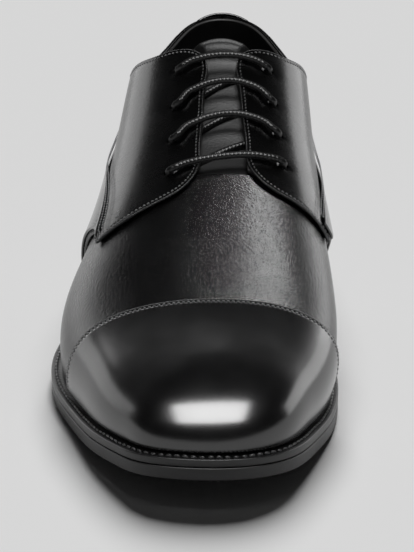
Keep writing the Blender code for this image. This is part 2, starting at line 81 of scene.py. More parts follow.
# Thicknesses and clearances of the layers, in metres
GAP = 0.0003
FACET_GAP = 0.00045
WALL = 0.0016
QUARTER = 0.0013
CAP = 0.0012
FOXING = 0.0011
TONGUE = 0.0022
LACE = 0.0028
WELT = 0.0028
OUTSOLE = 0.0046
OVERLAY = 2 * FACET_GAP + QUARTER
FOOT_CLEARANCE = 0.0008

# Lacing: places along Y from the middle of the sole, widths across
THROAT_Y = -0.0225
FACING_TOP_Y = 0.025
FACING_FOOT_Y = -0.0205
FACING_GAP_TOP = 0.0122
FACING_GAP_FOOT = 0.0204
EYELET_BORE = 0.0037
EYELET_COUNT = 4
LACE_SAG = 0.0004
TONGUE_TOP_Y = 0.0365
TONGUE_CURVE = 0.0110
TONGUE_WIDTH = 0.055
TONGUE_DROP = 0.0022
TONGUE_RISE = 0.0030
TONGUE_RISE_LENGTH = 0.005
CAP_LINE_Y = -0.0865
TAB_HALF_ANGLE = 0.235

# Feather outline: station from heel to toe, reach to each side in half ball widths
OUTLINE = (
    (0.03, 0.350, 0.360),
    (0.10, 0.560, 0.570),
    (0.20, 0.690, 0.655),
    (0.33, 0.770, 0.680),
    (0.46, 0.890, 0.760),
    (0.58, 1.030, 0.870),
    (0.68, 1.140, 0.930),
    (0.76, 1.090, 0.945),
    (0.84, 0.895, 0.885),
    (0.91, 0.692, 0.742),
    (0.96, 0.482, 0.600),
    (0.99, 0.278, 0.380),
)
TOE_TURN = 0.073

# Sections: share of the sole's length, heel height, toe spring, crest height (share of the last),
# crest turn (share of half a ball), fullness of the sides and of the top
SECTIONS = (
    (0.00, 1.00, 0.00, 1.000, 0.006, 1.75, 0.960),
    (0.10, 0.98, 0.00, 0.996, 0.015, 1.48, 0.960),
    (0.20, 0.92, 0.00, 0.989, 0.026, 1.18, 0.950),
    (0.30, 0.76, 0.00, 0.896, 0.043, 0.90, 0.935),
    (0.40, 0.50, 0.00, 0.736, 0.069, 0.91, 0.915),
    (0.50, 0.24, 0.00, 0.589, 0.105, 0.935, 0.900),
    (0.60, 0.06, 0.00, 0.471, 0.140, 0.90, 0.885),
    (0.70, 0.00, 0.00, 0.379, 0.148, 0.84, 0.880),
    (0.80, 0.00, 0.05, 0.309, 0.147, 0.81, 0.870),
    (0.90, 0.00, 0.42, 0.271, 0.135, 0.81, 0.865),
    (1.00, 0.00, 1.00, 0.244, 0.123, 0.82, 0.860),
)

# Swell of the sides over the feather line: share of length, lateral, medial, in half ball widths
SWELL = (
    (0.00, 0.041, 0.054),
    (0.20, 0.102, 0.190),
    (0.34, 0.128, 0.232),
    (0.47, 0.098, 0.212),
    (0.70, 0.090, 0.191),
    (0.85, 0.080, 0.163),
    (1.00, 0.058, 0.101),
)

# Curve of the heel's back: rise, inset in heel depths
BACK = ((0.0, 0.0), (0.12, -0.21), (0.25, -0.29), (0.45, -0.125), (0.62, 0.375), (0.80, 0.75), (1.0, 1.0))

# Reach of the welt beyond the feather line: share of length, share of its reach at the toe
REACH = ((0.0, 0.62), (0.30, 0.62), (0.45, 0.65), (0.60, 0.65), (0.70, 0.70), (1.0, 1.0))

# Top line of the quarters: station, lift
TOP_LINE = (
    (0.000, 0.348),
    (0.030, 0.334),
    (0.080, 0.297),
    (0.120, 0.279),
    (0.160, 0.271),
    (0.210, 0.278),
    (0.250, 0.305),
    (0.290, 0.375),
    (0.320, 0.458),
    (0.350, 0.575),
    (0.373, 0.682),
    (0.385, 0.766),
    (0.396, 0.838),
    (0.407, 0.889),
    (0.419, 0.922),
)
ARCH_STATION = 0.320
# Corner where a facing turns into the wing's front edge: station past the facing's foot, lift lost
CORNER = ((0.012, 0.012), (0.023, 0.034), (0.031, 0.066), (0.036, 0.125))

# Top edge of the foxing: station, lift
FOXING_TOP = ((0.0, 0.170), (0.15, 0.165), (0.30, 0.205), (0.44, 0.290), (0.52, 0.400), (0.60, 0.488),
              (0.66, 0.525))
FOXING_SETBACK = 0.004


class Side(Enum):
    """The two sides of the shoe, by the sign of their angle and of their X."""

    LATERAL = -1
    MEDIAL = 1


# Front edge of the wings: station added to the corner's, lean back at the feather line,
# height of the tip as a share of the corner's, sweep back below the tip
WING = {Side.LATERAL: (0.003, -0.022, 0.64, 0.120), Side.MEDIAL: (-0.016, 0.030, 0.50, 0.080)}
SWEEP_POWER = 0.5

# Eyelets: first one's place along Y, pitch, setback from the facing's edge
EYELETS = {Side.LATERAL: (0.0241, 0.0151, 0.0109), Side.MEDIAL: (0.0257, 0.0135, 0.0120)}

# Bow toward the heel of the lace bar at each pair of eyelets
LACE_BOWS = (0.0018, 0.0055, 0.0054, 0.0008)


@dataclass(frozen=True)
class Curve:
    """Natural cubic spline y(x) through knots.

    Between two knots the curve is a y_k + b y_k+1 + ((a^3 - a) m_k + (b^3 - b) m_k+1) h^2 / 6, where
    a and b are the shares of the step and m solves the tridiagonal system of equal slopes.
    """

    xs: np.ndarray
    ys: np.ndarray
    bend: np.ndarray

    @classmethod
    def through(cls, rows: Sequence[Sequence[float]], value: int = 1) -> Curve:
        """Spline through one column of a table, against the table's first column.

        Args:
            rows: the table, rising in its first column.
            value: the column that the curve gives.

        Returns:
            The spline.
        """
        table = np.array([(row[0], row[value]) for row in rows], dtype=float)
        xs, ys = table.T
        step = np.diff(xs)
        inner = np.arange(1, len(xs) - 1)
        matrix = np.eye(len(xs))
        matrix[inner, inner - 1] = step[:-1]
        matrix[inner, inner] = 2 * (step[:-1] + step[1:])
        matrix[inner, inner + 1] = step[1:]
        right = np.zeros(len(xs))
        right[1:-1] = 6 * np.diff(np.diff(ys) / step)
        return cls(xs, ys, np.linalg.solve(matrix, right))

    def __call__(self, x: np.ndarray | float) -> np.ndarray:
        """Values of the curve at x.

        Args:
            x: places, also past the first or the last knot.

        Returns:
            Values, of the places' shape.
        """
        x = np.asarray(x, dtype=float)
        k = np.clip(np.searchsorted(self.xs, x, side="right") - 1, 0, len(self.xs) - 2)
        step = self.xs[k + 1] - self.xs[k]
        a = (self.xs[k + 1] - x) / step
        b = 1 - a
        cubic = (a ** 3 - a) * self.bend[k] + (b ** 3 - b) * self.bend[k + 1]
        return a * self.ys[k] + b * self.ys[k + 1] + cubic * step ** 2 / 6


def unit(vectors: np.ndarray) -> np.ndarray:
    """Vectors divided by their lengths."""
    return vectors / np.maximum(np.linalg.norm(vectors, axis=-1, keepdims=True), 1e-12)


def run_length(points: np.ndarray) -> np.ndarray:
    """Length along a line of points, from 0 at its first point."""
    steps = np.linalg.norm(np.diff(points, axis=0), axis=-1)
    return np.concatenate([[0.0], np.cumsum(steps)])


def angle_of(station: np.ndarray | float) -> np.ndarray:
    """Angle round the last, on the medial side, of a station between heel (0) and toe (1)."""
    return np.arccos(1 - 2 * np.clip(station, 0, 1))


@dataclass
class Last:
    """The foot form that the shoe is built on, at its real size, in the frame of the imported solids."""

    sole_length: float = 0.300
    half_ball: float = 0.0465
    height: float = 0.140
    heel_height: float = 0.025
    toe_spring: float = 0.0095
    welt_reach: float = 0.0057
    heel_depth: float = 0.012
    toe_depth: float = 0.0306
    toe_rounding: float = 0.81
    stack: float = 2 * GAP + WELT + OUTSOLE
    shift: np.ndarray = field(default_factory=lambda: np.zeros(3))

    def __post_init__(self) -> None:
        """Turn the tables into curves and close the outline round the heel and the toe."""
        rows = {(0.0, 0.0), (math.pi, TOE_TURN), (-math.pi, TOE_TURN)}
        for station, lateral, medial in OUTLINE:
            angle = float(angle_of(station))
            rows |= {(-angle, -lateral), (angle, medial)}
        wrapped = {round(a + lap * 2 * math.pi, 9): x for a, x in rows for lap in (-1, 0, 1)}
        self.outline = Curve.through(sorted(wrapped.items()))
        self.heel = Curve.through(SECTIONS, 1)
        self.spring = Curve.through(SECTIONS, 2)
        self.crest = Curve.through(SECTIONS, 3)
        self.turn = Curve.through(SECTIONS, 4)
        self.side_fullness = Curve.through(SECTIONS, 5)
        self.top_fullness = Curve.through(SECTIONS, 6)
        self.lateral_swell = Curve.through(SWELL, 1)
        self.medial_swell = Curve.through(SWELL, 2)
        self.back = Curve.through(BACK)
        self.reach = Curve.through(REACH)

    def share_at(self, y: np.ndarray) -> np.ndarray:
        """Share of the sole's length, from the heel."""
        return (self.sole_length / 2 - np.asarray(y)) / self.sole_length

    def seat(self, share: np.ndarray) -> np.ndarray:
        """Height of the feather line over the floor, by share of the sole's length."""
        raised = self.heel_height * self.heel(share) + self.toe_spring * self.spring(share)
        return self.stack + np.maximum(raised, 0)

    def ends(self, lift: np.ndarray) -> Pair:
        """Ends of the last along Y.

        Args:
            lift: lifts.

        Returns:
            Y of the last's back and of its toe at each lift.
        """
        tilt = np.asarray(lift) * math.pi / 2
        level = np.clip(np.cos(tilt), 0, 1)
        heel_y = self.sole_length / 2 - self.welt_reach * 0.7 - self.heel_depth * self.back(np.sin(tilt))
        front = self.toe_depth * (1 - level ** self.toe_rounding)
        return heel_y, self.welt_reach + GAP - self.sole_length / 2 + front

    def point(self, angle: np.ndarray, lift: np.ndarray) -> np.ndarray:
        """Points of the last's surface.

        At a lift, seen from above, the section runs from heel to toe by the cosine of the angle. Its
        reach is the feather outline's, narrowed by a power of the lift's cosine, plus a swell by the
        sine of twice the lift. Its height rises from the seat to the crest by a power of the sine.

        Args:
            angle: angles round the last.
            lift: lifts, of a shape that goes with the angles'.

        Returns:
            Points, with a last axis of three.
        """
        angle, lift = np.broadcast_arrays(np.asarray(angle, float), np.asarray(lift, float))
        tilt = lift * math.pi / 2
        level = np.clip(np.cos(tilt), 0, 1)
        heel_y, toe_y = self.ends(lift)
        y = heel_y + (toe_y - heel_y) * (1 - np.cos(angle)) / 2
        share = self.share_at(y)
        centre = self.half_ball * self.turn(share)
        edge = self.half_ball * self.outline(angle)
        swell = np.where(angle < 0, -self.lateral_swell(share), self.medial_swell(share))
        swell = swell * np.sqrt(np.abs(np.sin(angle))) * np.sin(2 * tilt) * self.half_ball
        x = centre + (edge - centre) * level ** self.side_fullness(share) + swell
        foot = self.seat(share)
        rise = self.height * self.crest(share) - foot
        return np.stack([x, y, foot + rise * np.sin(tilt) ** self.top_fullness(share)], axis=-1)

    def normal(self, angle: np.ndarray, lift: np.ndarray) -> np.ndarray:
        """Outward normals of the surface, by central differences.

        Args:
            angle: angles round the last.
            lift: lifts.

        Returns:
            Unit vectors, with a last axis of three.
        """
        step = 1e-4
        inner = np.clip(lift, step, 0.998)
        across = self.point(angle + step, inner) - self.point(angle - step, inner)
        upward = self.point(angle, inner + step) - self.point(angle, inner - step)
        return unit(np.cross(upward, across))

    def skin(self, angle: np.ndarray, lift: np.ndarray, out: np.ndarray | float = 0.0) -> np.ndarray:
        """Points at a distance out from the surface, along its normal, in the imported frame.

        Args:
            angle: angles round the last.
            lift: lifts.
            out: distance out from the surface; negative is inward.

        Returns:
            Points, with a last axis of three.
        """
        angle, lift, out = np.broadcast_arrays(np.asarray(angle, float), np.asarray(lift, float), out)
        return self.point(angle, lift) + self.normal(angle, lift) * out[..., None] + self.shift

    def station_at(self, y: np.ndarray, lift: np.ndarray) -> np.ndarray:
        """Station of a place along Y at a lift."""
        heel_y, toe_y = self.ends(lift)
        return (heel_y - y) / (heel_y - toe_y)

    def place_at(self, y: np.ndarray, offset: np.ndarray) -> Pair:
        """Angle and lift over the instep, by halving the range of lifts forty times.

        Args:
            y: places along the shoe.
            offset: signed distances across from the crest; lateral is negative.

        Returns:
            Angles and lifts.
        """
        y, offset = np.broadcast_arrays(np.asarray(y, float), np.asarray(offset, float))
        side = np.where(offset < 0, -1.0, 1.0)
        low, high = np.full(y.shape, 0.3), np.ones(y.shape)
        for _ in range(40):
            middle = (low + high) / 2
            x = self.point(side * angle_of(self.station_at(y, middle)), middle)[..., 0]
            wide = np.abs(x - self.half_ball * self.turn(self.share_at(y))) > np.abs(offset)
            low, high = np.where(wide, middle, low), np.where(wide, high, middle)
        lift = (low + high) / 2
        return side * angle_of(self.station_at(y, lift)), lift

    def instep(self, y: np.ndarray, offset: np.ndarray, out: np.ndarray | float = 0.0) -> np.ndarray:
        """Points over the instep, at a place along Y and a signed offset from the crest."""
        angle, lift = self.place_at(y, offset)
        return self.skin(angle, lift, out)

    def foot_lift(self, station: np.ndarray) -> np.ndarray:
        """Lift at which an overlay starts, just clear of the welt.

        Args:
            station: stations between heel (0) and toe (1).

        Returns:
            Lifts, of the stations' shape.
        """
        share = self.share_at(self.point(angle_of(station), 0.0)[..., 1])
        rise = self.height * self.crest(share) - self.seat(share)
        return np.arcsin((FOOT_CLEARANCE / rise) ** (1 / self.top_fullness(share))) / (math.pi / 2)

    def edge(self, angle: np.ndarray, out: np.ndarray | float) -> np.ndarray:
        """Feather line moved outward in plan, before the frame's shift.

        Args:
            angle: angles round the last.
            out: how far outward.

        Returns:
            X and Y of the points.
        """
        step = 1e-4
        tangent = unit((self.point(angle + step, 0.0) - self.point(angle - step, 0.0))[..., :2])
        normal = np.stack([-tangent[..., 1], tangent[..., 0]], axis=-1)
        return self.point(angle, 0.0)[..., :2] + normal * np.asarray(out)[..., None]

    def welt_out(self, angle: np.ndarray) -> np.ndarray:
        """Reach of the welt beyond the feather line."""
        share = np.clip(self.share_at(self.point(angle, 0.0)[..., 1]), 0, 1)
        return self.welt_reach * self.reach(share)

    def slide(self, angle: np.ndarray, lift: np.ndarray, way: np.ndarray) -> Pair:
        """Move places on the surface by small vectors, through the surface's own slopes.

        The vector is split along the slopes P_a and P_l by the normal equations of least squares.

        Args:
            angle: angles round the last.
            lift: lifts.
            way: vectors to move by, with a last axis of three.

        Returns:
            The new angles and lifts.
        """
        step = 1e-4
        p_a = (self.point(angle + step, lift) - self.point(angle - step, lift)) / (2 * step)
        inner = np.clip(lift, step, 1 - step)
        p_l = (self.point(angle, inner + step) - self.point(angle, inner - step)) / (2 * step)
        aa, ll, al = (p_a * p_a).sum(-1), (p_l * p_l).sum(-1), (p_a * p_l).sum(-1)
        wa, wl = (way * p_a).sum(-1), (way * p_l).sum(-1)
        scale = np.maximum(aa * ll - al ** 2, 1e-16)
        return angle + (wa * ll - wl * al) / scale, lift + (wl * aa - wa * al) / scale

    def inset(self, angle: np.ndarray, lift: np.ndarray, distance: float) -> Pair:
        """Line beside a line on the surface, to its right as seen from outside.

        Args:
            angle: angles of the line's points.
            lift: lifts of the line's points.
            distance: how far to the right; negative is to the left.

        Returns:
            Angles and lifts of the new line.
        """
        points = self.point(angle, lift)
        way = unit(np.cross(unit(np.gradient(points, axis=0)), self.normal(angle, lift)))
        return self.slide(angle, lift, way * distance)


def facing_gap(y: np.ndarray) -> np.ndarray:
    """Half of the gap between the facings."""
    along = (FACING_TOP_Y - np.asarray(y)) / (FACING_TOP_Y - FACING_FOOT_Y)
    return (FACING_GAP_TOP + (FACING_GAP_FOOT - FACING_GAP_TOP) * along) / 2


def eyelet_at(side: Side, k: int) -> tuple[float, float]:
    """Place of an eyelet.

    Args:
        side: its side of the shoe.
        k: its number from the top, from 0.

    Returns:
        Its place along Y and its signed offset from the crest.
    """
    first, pitch, setback = EYELETS[side]
    y = first - k * pitch
    return y, side.value * (float(facing_gap(y)) + setback)


def wing_lean(side: Side, height: np.ndarray) -> np.ndarray:
    """Station by which a wing's front edge leans back, at a share of its corner's height."""
    _, lean, tip, sweep = WING[side]
    return lean * (1 - height) + sweep * np.clip((tip - height) / tip, 0, 1) ** SWEEP_POWER


def distance_to(points: np.ndarray, line: np.ndarray) -> np.ndarray:
    """Distance from points to a line of straight runs.

    Each run's nearest place is the point's projection, held between the run's ends.

    Args:
        points: points, with a last axis of three.
        line: the line's points in order.

    Returns:
        Distances, of the points' shape.
    """
    flat = points.reshape(-1, 3)
    start, run = line[:-1], np.diff(line, axis=0)
    square = np.maximum((run ** 2).sum(-1), 1e-16)
    found = []
    for block in np.array_split(flat, len(flat) // 1500 + 1):
        away = block[:, None] - start
        share = np.clip((away * run).sum(-1) / square, 0, 1)
        away -= share[..., None] * run
        found.append(np.sqrt((away ** 2).sum(-1).min(1)))
    return np.concatenate(found).reshape(points.shape[:-1])


def grid_faces(index: np.ndarray) -> np.ndarray:
    """Quads between the neighbours of a grid of vertex numbers.

    Args:
        index: vertex numbers, [column, row].

    Returns:
        Quads, four numbers each, in the order (k, j), (k, j+1), (k+1, j+1), (k+1, j).
    """
    quads = (index[:-1, :-1], index[:-1, 1:], index[1:, 1:], index[1:, :-1])
    return np.stack(quads, axis=-1).reshape(-1, 4)


def make_mesh(name: str, verts: np.ndarray, faces: np.ndarray, weld: float = 0.0) -> bpy.types.Object:
    """Object from points and faces, with its faces turned outward and shaded smooth.

    Args:
        name: the object's name.
        verts: points, [n, 3].
        faces: quads or triangles, [m, 3 or 4].
        weld: distance below which points are merged, or 0.

    Returns:
        The object, linked to the scene.
    """
    mesh = bpy.data.meshes.new(name)
    sides = faces.shape[1]
    mesh.vertices.add(len(verts))
    mesh.vertices.foreach_set("co", np.ascontiguousarray(verts, dtype=np.float32).ravel())
    mesh.loops.add(faces.size)
    mesh.loops.foreach_set("vertex_index", np.ascontiguousarray(faces, dtype=np.int32).ravel())
    mesh.polygons.add(len(faces))
    mesh.polygons.foreach_set("loop_start", np.arange(0, faces.size, sides, dtype=np.int32))
    mesh.update(calc_edges=True)
    mesh.validate()
    work = bmesh.new()
    work.from_mesh(mesh)
    if weld:
        bmesh.ops.remove_doubles(work, verts=work.verts, dist=weld)
        bmesh.ops.dissolve_degenerate(work, edges=work.edges, dist=1e-7)
    if work.calc_volume(signed=True) < 0:
        bmesh.ops.reverse_faces(work, faces=work.faces)
    work.to_mesh(mesh)
    work.free()
    mesh.shade_smooth()
    made = bpy.data.objects.new(name, mesh)
    bpy.context.scene.collection.objects.link(made)
    return made


def cluster(length: np.ndarray, start: Sequence[float], end: Sequence[float], count: int) -> np.ndarray:
    """Shares of a run for grid lines, close together near its ends.

    Args:
        length: lengths of the runs.
        start: distances of the first lines from the run's start, rising from 0.
        end: distances of the last lines from the run's end, rising from 0.
        count: lines in the even stretch between.

    Returns:
        Shares, with a last axis for the lines.
    """
    length = np.asarray(length, float)[..., None]
    fit = np.minimum(1.0, 0.8 * length / (start[-1] + end[-1]))
    low = np.array(start) * fit / length
    high = 1 - np.array(end)[::-1] * fit / length
    ratio = np.linspace(0, 1, count + 2)[1:-1]
    middle = low[..., -1:] + (high[..., :1] - low[..., -1:]) * ratio
    return np.concatenate([low, middle, high], axis=-1)


# Distances of the grid's lines from a free, rounded edge and from a hidden one
FREE_EDGE = tuple(d * MM for d in (0, 0.06, 0.15, 0.28, 0.42, 0.6, 0.8, 1.0, 1.2, 1.4, 1.6, 1.8, 2.1, 2.6,
                                   3.4))
HIDDEN_EDGE = tuple(d * MM for d in (0, 0.15, 0.4, 0.8))


@dataclass
class Seam:
    """A row of stitches beside an edge, sunk in its own channel."""

    line: np.ndarray
    normal: np.ndarray
    pitch: float = 1.7 * MM
    thread: float = 0.50 * MM
    cover: float = 0.70
    depth: float = 0.16 * MM
    width: float = 0.42 * MM


@dataclass
class Shell:
    """A piece of leather over the last, closed, with rounded rims.

    The middle surface lies at base plus half the thickness. At a distance d from the nearest edge the
    half thickness is t/2 sqrt(1 - (1 - d/r)^2) up to the rounding r, so both faces meet in the rim.
    The outer face also carries a bead along the edge, channels under the seams and soft dents.
    """

    name: str
    patch: Patch
    base: float
    thickness: float
    last: Last
    u_count: int = 150
    v_count: int = 30
    u_start: Sequence[float] = FREE_EDGE
    u_end: Sequence[float] = FREE_EDGE
    v_start: Sequence[float] = HIDDEN_EDGE
    v_end: Sequence[float] = FREE_EDGE
    rounding: float = 0.55 * MM
    bead: float = 0.0
    seams: Sequence[Seam] = ()
    dents: Sequence[Callable[[np.ndarray], np.ndarray]] = ()
    wrapped: bool = False

    def grid(self) -> Pair:
        """Parameters u and v of the grid, [column, row], with lines close together near the edges."""
        even = np.linspace(0, 1, 60)
        sample = self.last.point(*self.patch(even[:, None], even[None, :]))
        long_way = np.linalg.norm(np.diff(sample, axis=0), axis=-1).sum(0)
        short_way = np.linalg.norm(np.diff(sample, axis=1), axis=-1).sum(1)
        v_mean = cluster(short_way.mean(), self.v_start, self.v_end, self.v_count)
        u_mean = cluster(long_way.mean(), self.u_start, self.u_end, self.u_count)
        u = cluster(np.interp(v_mean, even, long_way), self.u_start, self.u_end, self.u_count).T
        v = cluster(np.interp(u_mean, even, short_way), self.v_start, self.v_end, self.v_count)
        return u, v

    def build(self) -> bpy.types.Object:
        """Make the shell's mesh.

        Returns:
            The object, with the vertex attribute rim: 1 at the edge, falling to 0 over 2 mm.
        """
        u, v = self.grid()
        angle, lift = self.patch(u, v)
        base = self.base(u, v) if callable(self.base) else self.base
        middle = self.last.skin(angle, lift, base + self.thickness / 2)
        normal = self.last.normal(angle, lift)
        border = np.concatenate([middle[0], middle[1:, -1], middle[-1, -2::-1], middle[-2::-1, 0]])
        if self.wrapped:
            border = np.concatenate([middle[:, 0][:0:-1], middle[0], middle[:, -1]])
        edge = distance_to(middle, border)
        share = np.clip(edge / self.rounding, 0, 1)
        half = self.thickness / 2 * np.sqrt(np.clip(1 - (1 - share) ** 2, 0, 1))
        relief = self.bead * np.exp(-((edge - 0.7 * MM) / (0.45 * MM)) ** 2)
        for seam in self.seams:
            relief -= seam.depth * np.exp(-(distance_to(middle, seam.line) / seam.width) ** 2)
        for dent in self.dents:
            relief += dent(middle)
        outer = middle + normal * (half + relief * share ** 2)[..., None]
        inner = middle - normal * half[..., None]
        count = edge.size
        index = np.arange(count).reshape(edge.shape)
        verts = np.concatenate([outer.reshape(-1, 3), inner.reshape(-1, 3)])
        faces = np.concatenate([grid_faces(index), grid_faces(index + count)[:, ::-1]])
        made = make_mesh(self.name, verts, faces, weld=2e-6)
        self.mark_rim(made, border)
        return made

    def mark_rim(self, made: bpy.types.Object, border: np.ndarray) -> None:
        """Write the attribute rim on the mesh's points.

        Args:
            made: the object.
            border: points of the piece's edge, in order.
        """
        places = np.empty(len(made.data.vertices) * 3, dtype=np.float32)
        made.data.vertices.foreach_get("co", places)
        near = np.clip(1 - distance_to(places.reshape(-1, 3).astype(float), border) / (2 * MM), 0, 1)
        rim = made.data.attributes.new("rim", "FLOAT", "POINT")
        rim.data.foreach_set("value", near.astype(np.float32))


@dataclass
class Slab:
    """A layer of the sole: a plan grid between the lateral and the medial edge, and a swept rim.

    The plan at a reach is (1 - r) lateral + r medial for ratios r across. A hollow moves the front
    rows back by hollow (k/K)^4 (1 - (2r - 1)^2), which is the curved breast of a heel. The rim is
    the plan's border, drawn once for each pair of reach and height, and the first and the last of
    them are closed by the plan itself.
    """

    name: str
    last: Last
    angles: np.ndarray
    across: int = 24
    hollow: float = 0.0

    def plan(self, out: Callable[[np.ndarray], np.ndarray]) -> np.ndarray:
        """Plan grid at a reach beyond the feather line.

        Args:
            out: the reach by angle.

        Returns:
            The grid, [station, ratio, xy].
        """
        lateral = self.last.edge(-self.angles, out(-self.angles))[:, None]
        medial = self.last.edge(self.angles, out(self.angles))[:, None]
        ratio = np.linspace(0, 1, self.across + 1)[None, :, None]
        plan = lateral * (1 - ratio) + medial * ratio
        fade = np.linspace(0, 1, len(self.angles))[:, None] ** 4
        plan[..., 1] += self.hollow * fade * (1 - (2 * ratio[..., 0] - 1) ** 2)
        return plan

    def build(self, rows: Sequence[tuple[Callable, Callable]]) -> bpy.types.Object:
        """Make the layer's mesh.

        Args:
            rows: reach by angle and height by share of the length, from the top to the bottom.

        Returns:
            The object.
        """
        grids = []
        for out, height in rows:
            plan = self.plan(out)
            grids.append(np.concatenate([plan, height(self.last.share_at(plan[..., 1]))[..., None]], -1))
        rings = [np.concatenate([g[::-1, 0], g[1:, -1], g[-1, -2:0:-1]]) for g in grids]
        rim = np.stack(rings)
        rim = np.concatenate([rim, rim[:, :1]], axis=1)
        parts, faces, start = [], [], 0
        for block, turn in ((rim, 1), (grids[0], -1), (grids[-1], 1)):
            index = start + np.arange(block.shape[0] * block.shape[1]).reshape(block.shape[:2])
            faces.append(grid_faces(index)[:, ::turn])
            parts.append(block.reshape(-1, 3))
            start += index.size
        verts = np.concatenate(parts) + self.last.shift
        return make_mesh(self.name, verts, np.concatenate(faces), weld=4e-6)


def sweep_ring(name: str, sections: np.ndarray) -> bpy.types.Object:
    """Closed band from cross-sections that are closed loops.

    Args:
        name: the object's name.
        sections: the loops' points, [place along, place around, xyz].

    Returns:
        The object.
    """
    looped = np.arange(sections.shape[0] * sections.shape[1]).reshape(sections.shape[:2])
    looped = np.concatenate([looped, looped[:1]])
    looped = np.concatenate([looped, looped[:, :1]], axis=1)
    return make_mesh(name, sections.reshape(-1, 3), grid_faces(looped))


def sweep_tube(name: str, route: np.ndarray, across: np.ndarray, radius: np.ndarray) -> bpy.types.Object:
    """Tube along a line, with closed round ends.

    At each place the section lies in the plane of the side vector B, which is the given one made
    square to the tangent T, and of B x T. Its points are the radius times (cos B + sin B x T).

    Args:
        name: the object's name.
        route: points of the centre line.
        across: side vectors, one a point.
        radius: radii, [point, place around].

    Returns:
        The object.
    """
    tangent = unit(np.gradient(route, axis=0))
    side = unit(across - (across * tangent).sum(-1, keepdims=True) * tangent)
    up = np.cross(side, tangent)
    turn = np.linspace(0, 2 * math.pi, radius.shape[1], endpoint=False)
    ring = np.cos(turn)[None, :, None] * side[:, None] + np.sin(turn)[None, :, None] * up[:, None]
    points = route[:, None] + ring * radius[..., None]
    count = len(turn)
    index = np.arange(points.shape[0] * count).reshape(-1, count)
    index = np.concatenate([index, index[:, :1]], axis=1)
    caps = np.array([[index.max() + 1] * count, [index.max() + 2] * count])
    first = np.stack([caps[0], index[0, :-1], index[0, 1:], caps[0]], -1)
    last = np.stack([caps[1], index[-1, 1:], index[-1, :-1], caps[1]], -1)
    verts = np.concatenate([points.reshape(-1, 3), route[:1], route[-1:]])
    return make_mesh(name, verts, np.concatenate([grid_faces(index), first[:, ::-1], last[:, ::-1]]), 1e-7)


def stitch_rows(name: str, seams: Sequence[Seam], rise: float) -> bpy.types.Object:
    """Stitches of thread along seams, each one a short capsule bent down at its ends.

    A stitch's centre line is t c/2 T + (1 - t^2) a N for t from -1 to 1, with the cover c, the arch a,
    the seam's tangent T and normal N. Its radius is r sqrt(1 - t^4), so its ends close.

    Args:
        name: the object's name.
        seams: the seams.
        rise: height of the seams' stitches over the seams' lines.

    Returns:
        The object, with every stitch in one mesh.
    """
    rings, around = 7, 7
    t = np.linspace(-1, 1, rings)
    turn = np.linspace(0, 2 * math.pi, around, endpoint=False)
    verts = []
    for seam in seams:
        along = run_length(seam.line)
        count = max(int(along[-1] / seam.pitch), 1)
        at = (np.arange(count) + 0.5) * along[-1] / count

        def read(values: np.ndarray, where: np.ndarray) -> np.ndarray:
            """Vectors at runs along the seam."""
            return np.stack([np.interp(where, along, values[:, k]) for k in range(3)], axis=-1)

        step = seam.pitch * 0.4
        tangent = unit(read(seam.line, at + step) - read(seam.line, at - step))
        normal = unit(read(seam.normal, at))
        side = np.cross(tangent, normal)
        tangent = unit(tangent + 0.10 * side)
        run = (seam.pitch * seam.cover / 2) * t
        arch = seam.thread * (0.38 * (1 - t ** 2) - 0.12)
        radius = seam.thread / 2 * np.sqrt(1 - t ** 4)
        centre = read(seam.line, at) + normal * rise
        spine = centre[:, None] + tangent[:, None] * run[:, None] + normal[:, None] * arch[:, None]
        ring = np.cos(turn)[:, None] * side[:, None] + np.sin(turn)[:, None] * normal[:, None]
        verts.append(spine[:, :, None] + ring[:, None] * radius[:, None, None])
    points = np.concatenate(verts)
    base = np.arange(rings * around).reshape(rings, around)
    quads = grid_faces(np.concatenate([base, base[:, :1]], axis=1))
    faces = (quads[None] + (np.arange(len(points)) * rings * around)[:, None, None]).reshape(-1, 4)
    return make_mesh(name, points.reshape(-1, 3), faces, 1e-6)


class Number:
    """A number in a shader. Python's operators on it add Math nodes."""

    def __init__(self, paint: Paint, socket: Link) -> None:
        """Keep the material and the socket that gives the number."""
        self.paint = paint
        self.socket = socket

    def maths(self, operation: str, first: Link, second: Link, clamp: bool = False) -> Number:
        """Math node on two numbers."""
        settings = {"operation": operation, "use_clamp": clamp}
        return self.paint.node("ShaderNodeMath", settings, {0: first, 1: second})

    def __add__(self, other: Link) -> Number:
        """Sum."""
        return self.maths("ADD", self, other)

    def __radd__(self, other: Link) -> Number:
        """Sum, with this number second."""
        return self.maths("ADD", other, self)

    def __sub__(self, other: Link) -> Number:
        """Difference."""
        return self.maths("SUBTRACT", self, other)

    def __mul__(self, other: Link) -> Number:
        """Product."""
        return self.maths("MULTIPLY", self, other)

    def held(self) -> Number:
        """The number held between 0 and 1."""
        return self.maths("ADD", self, 0.0, clamp=True)


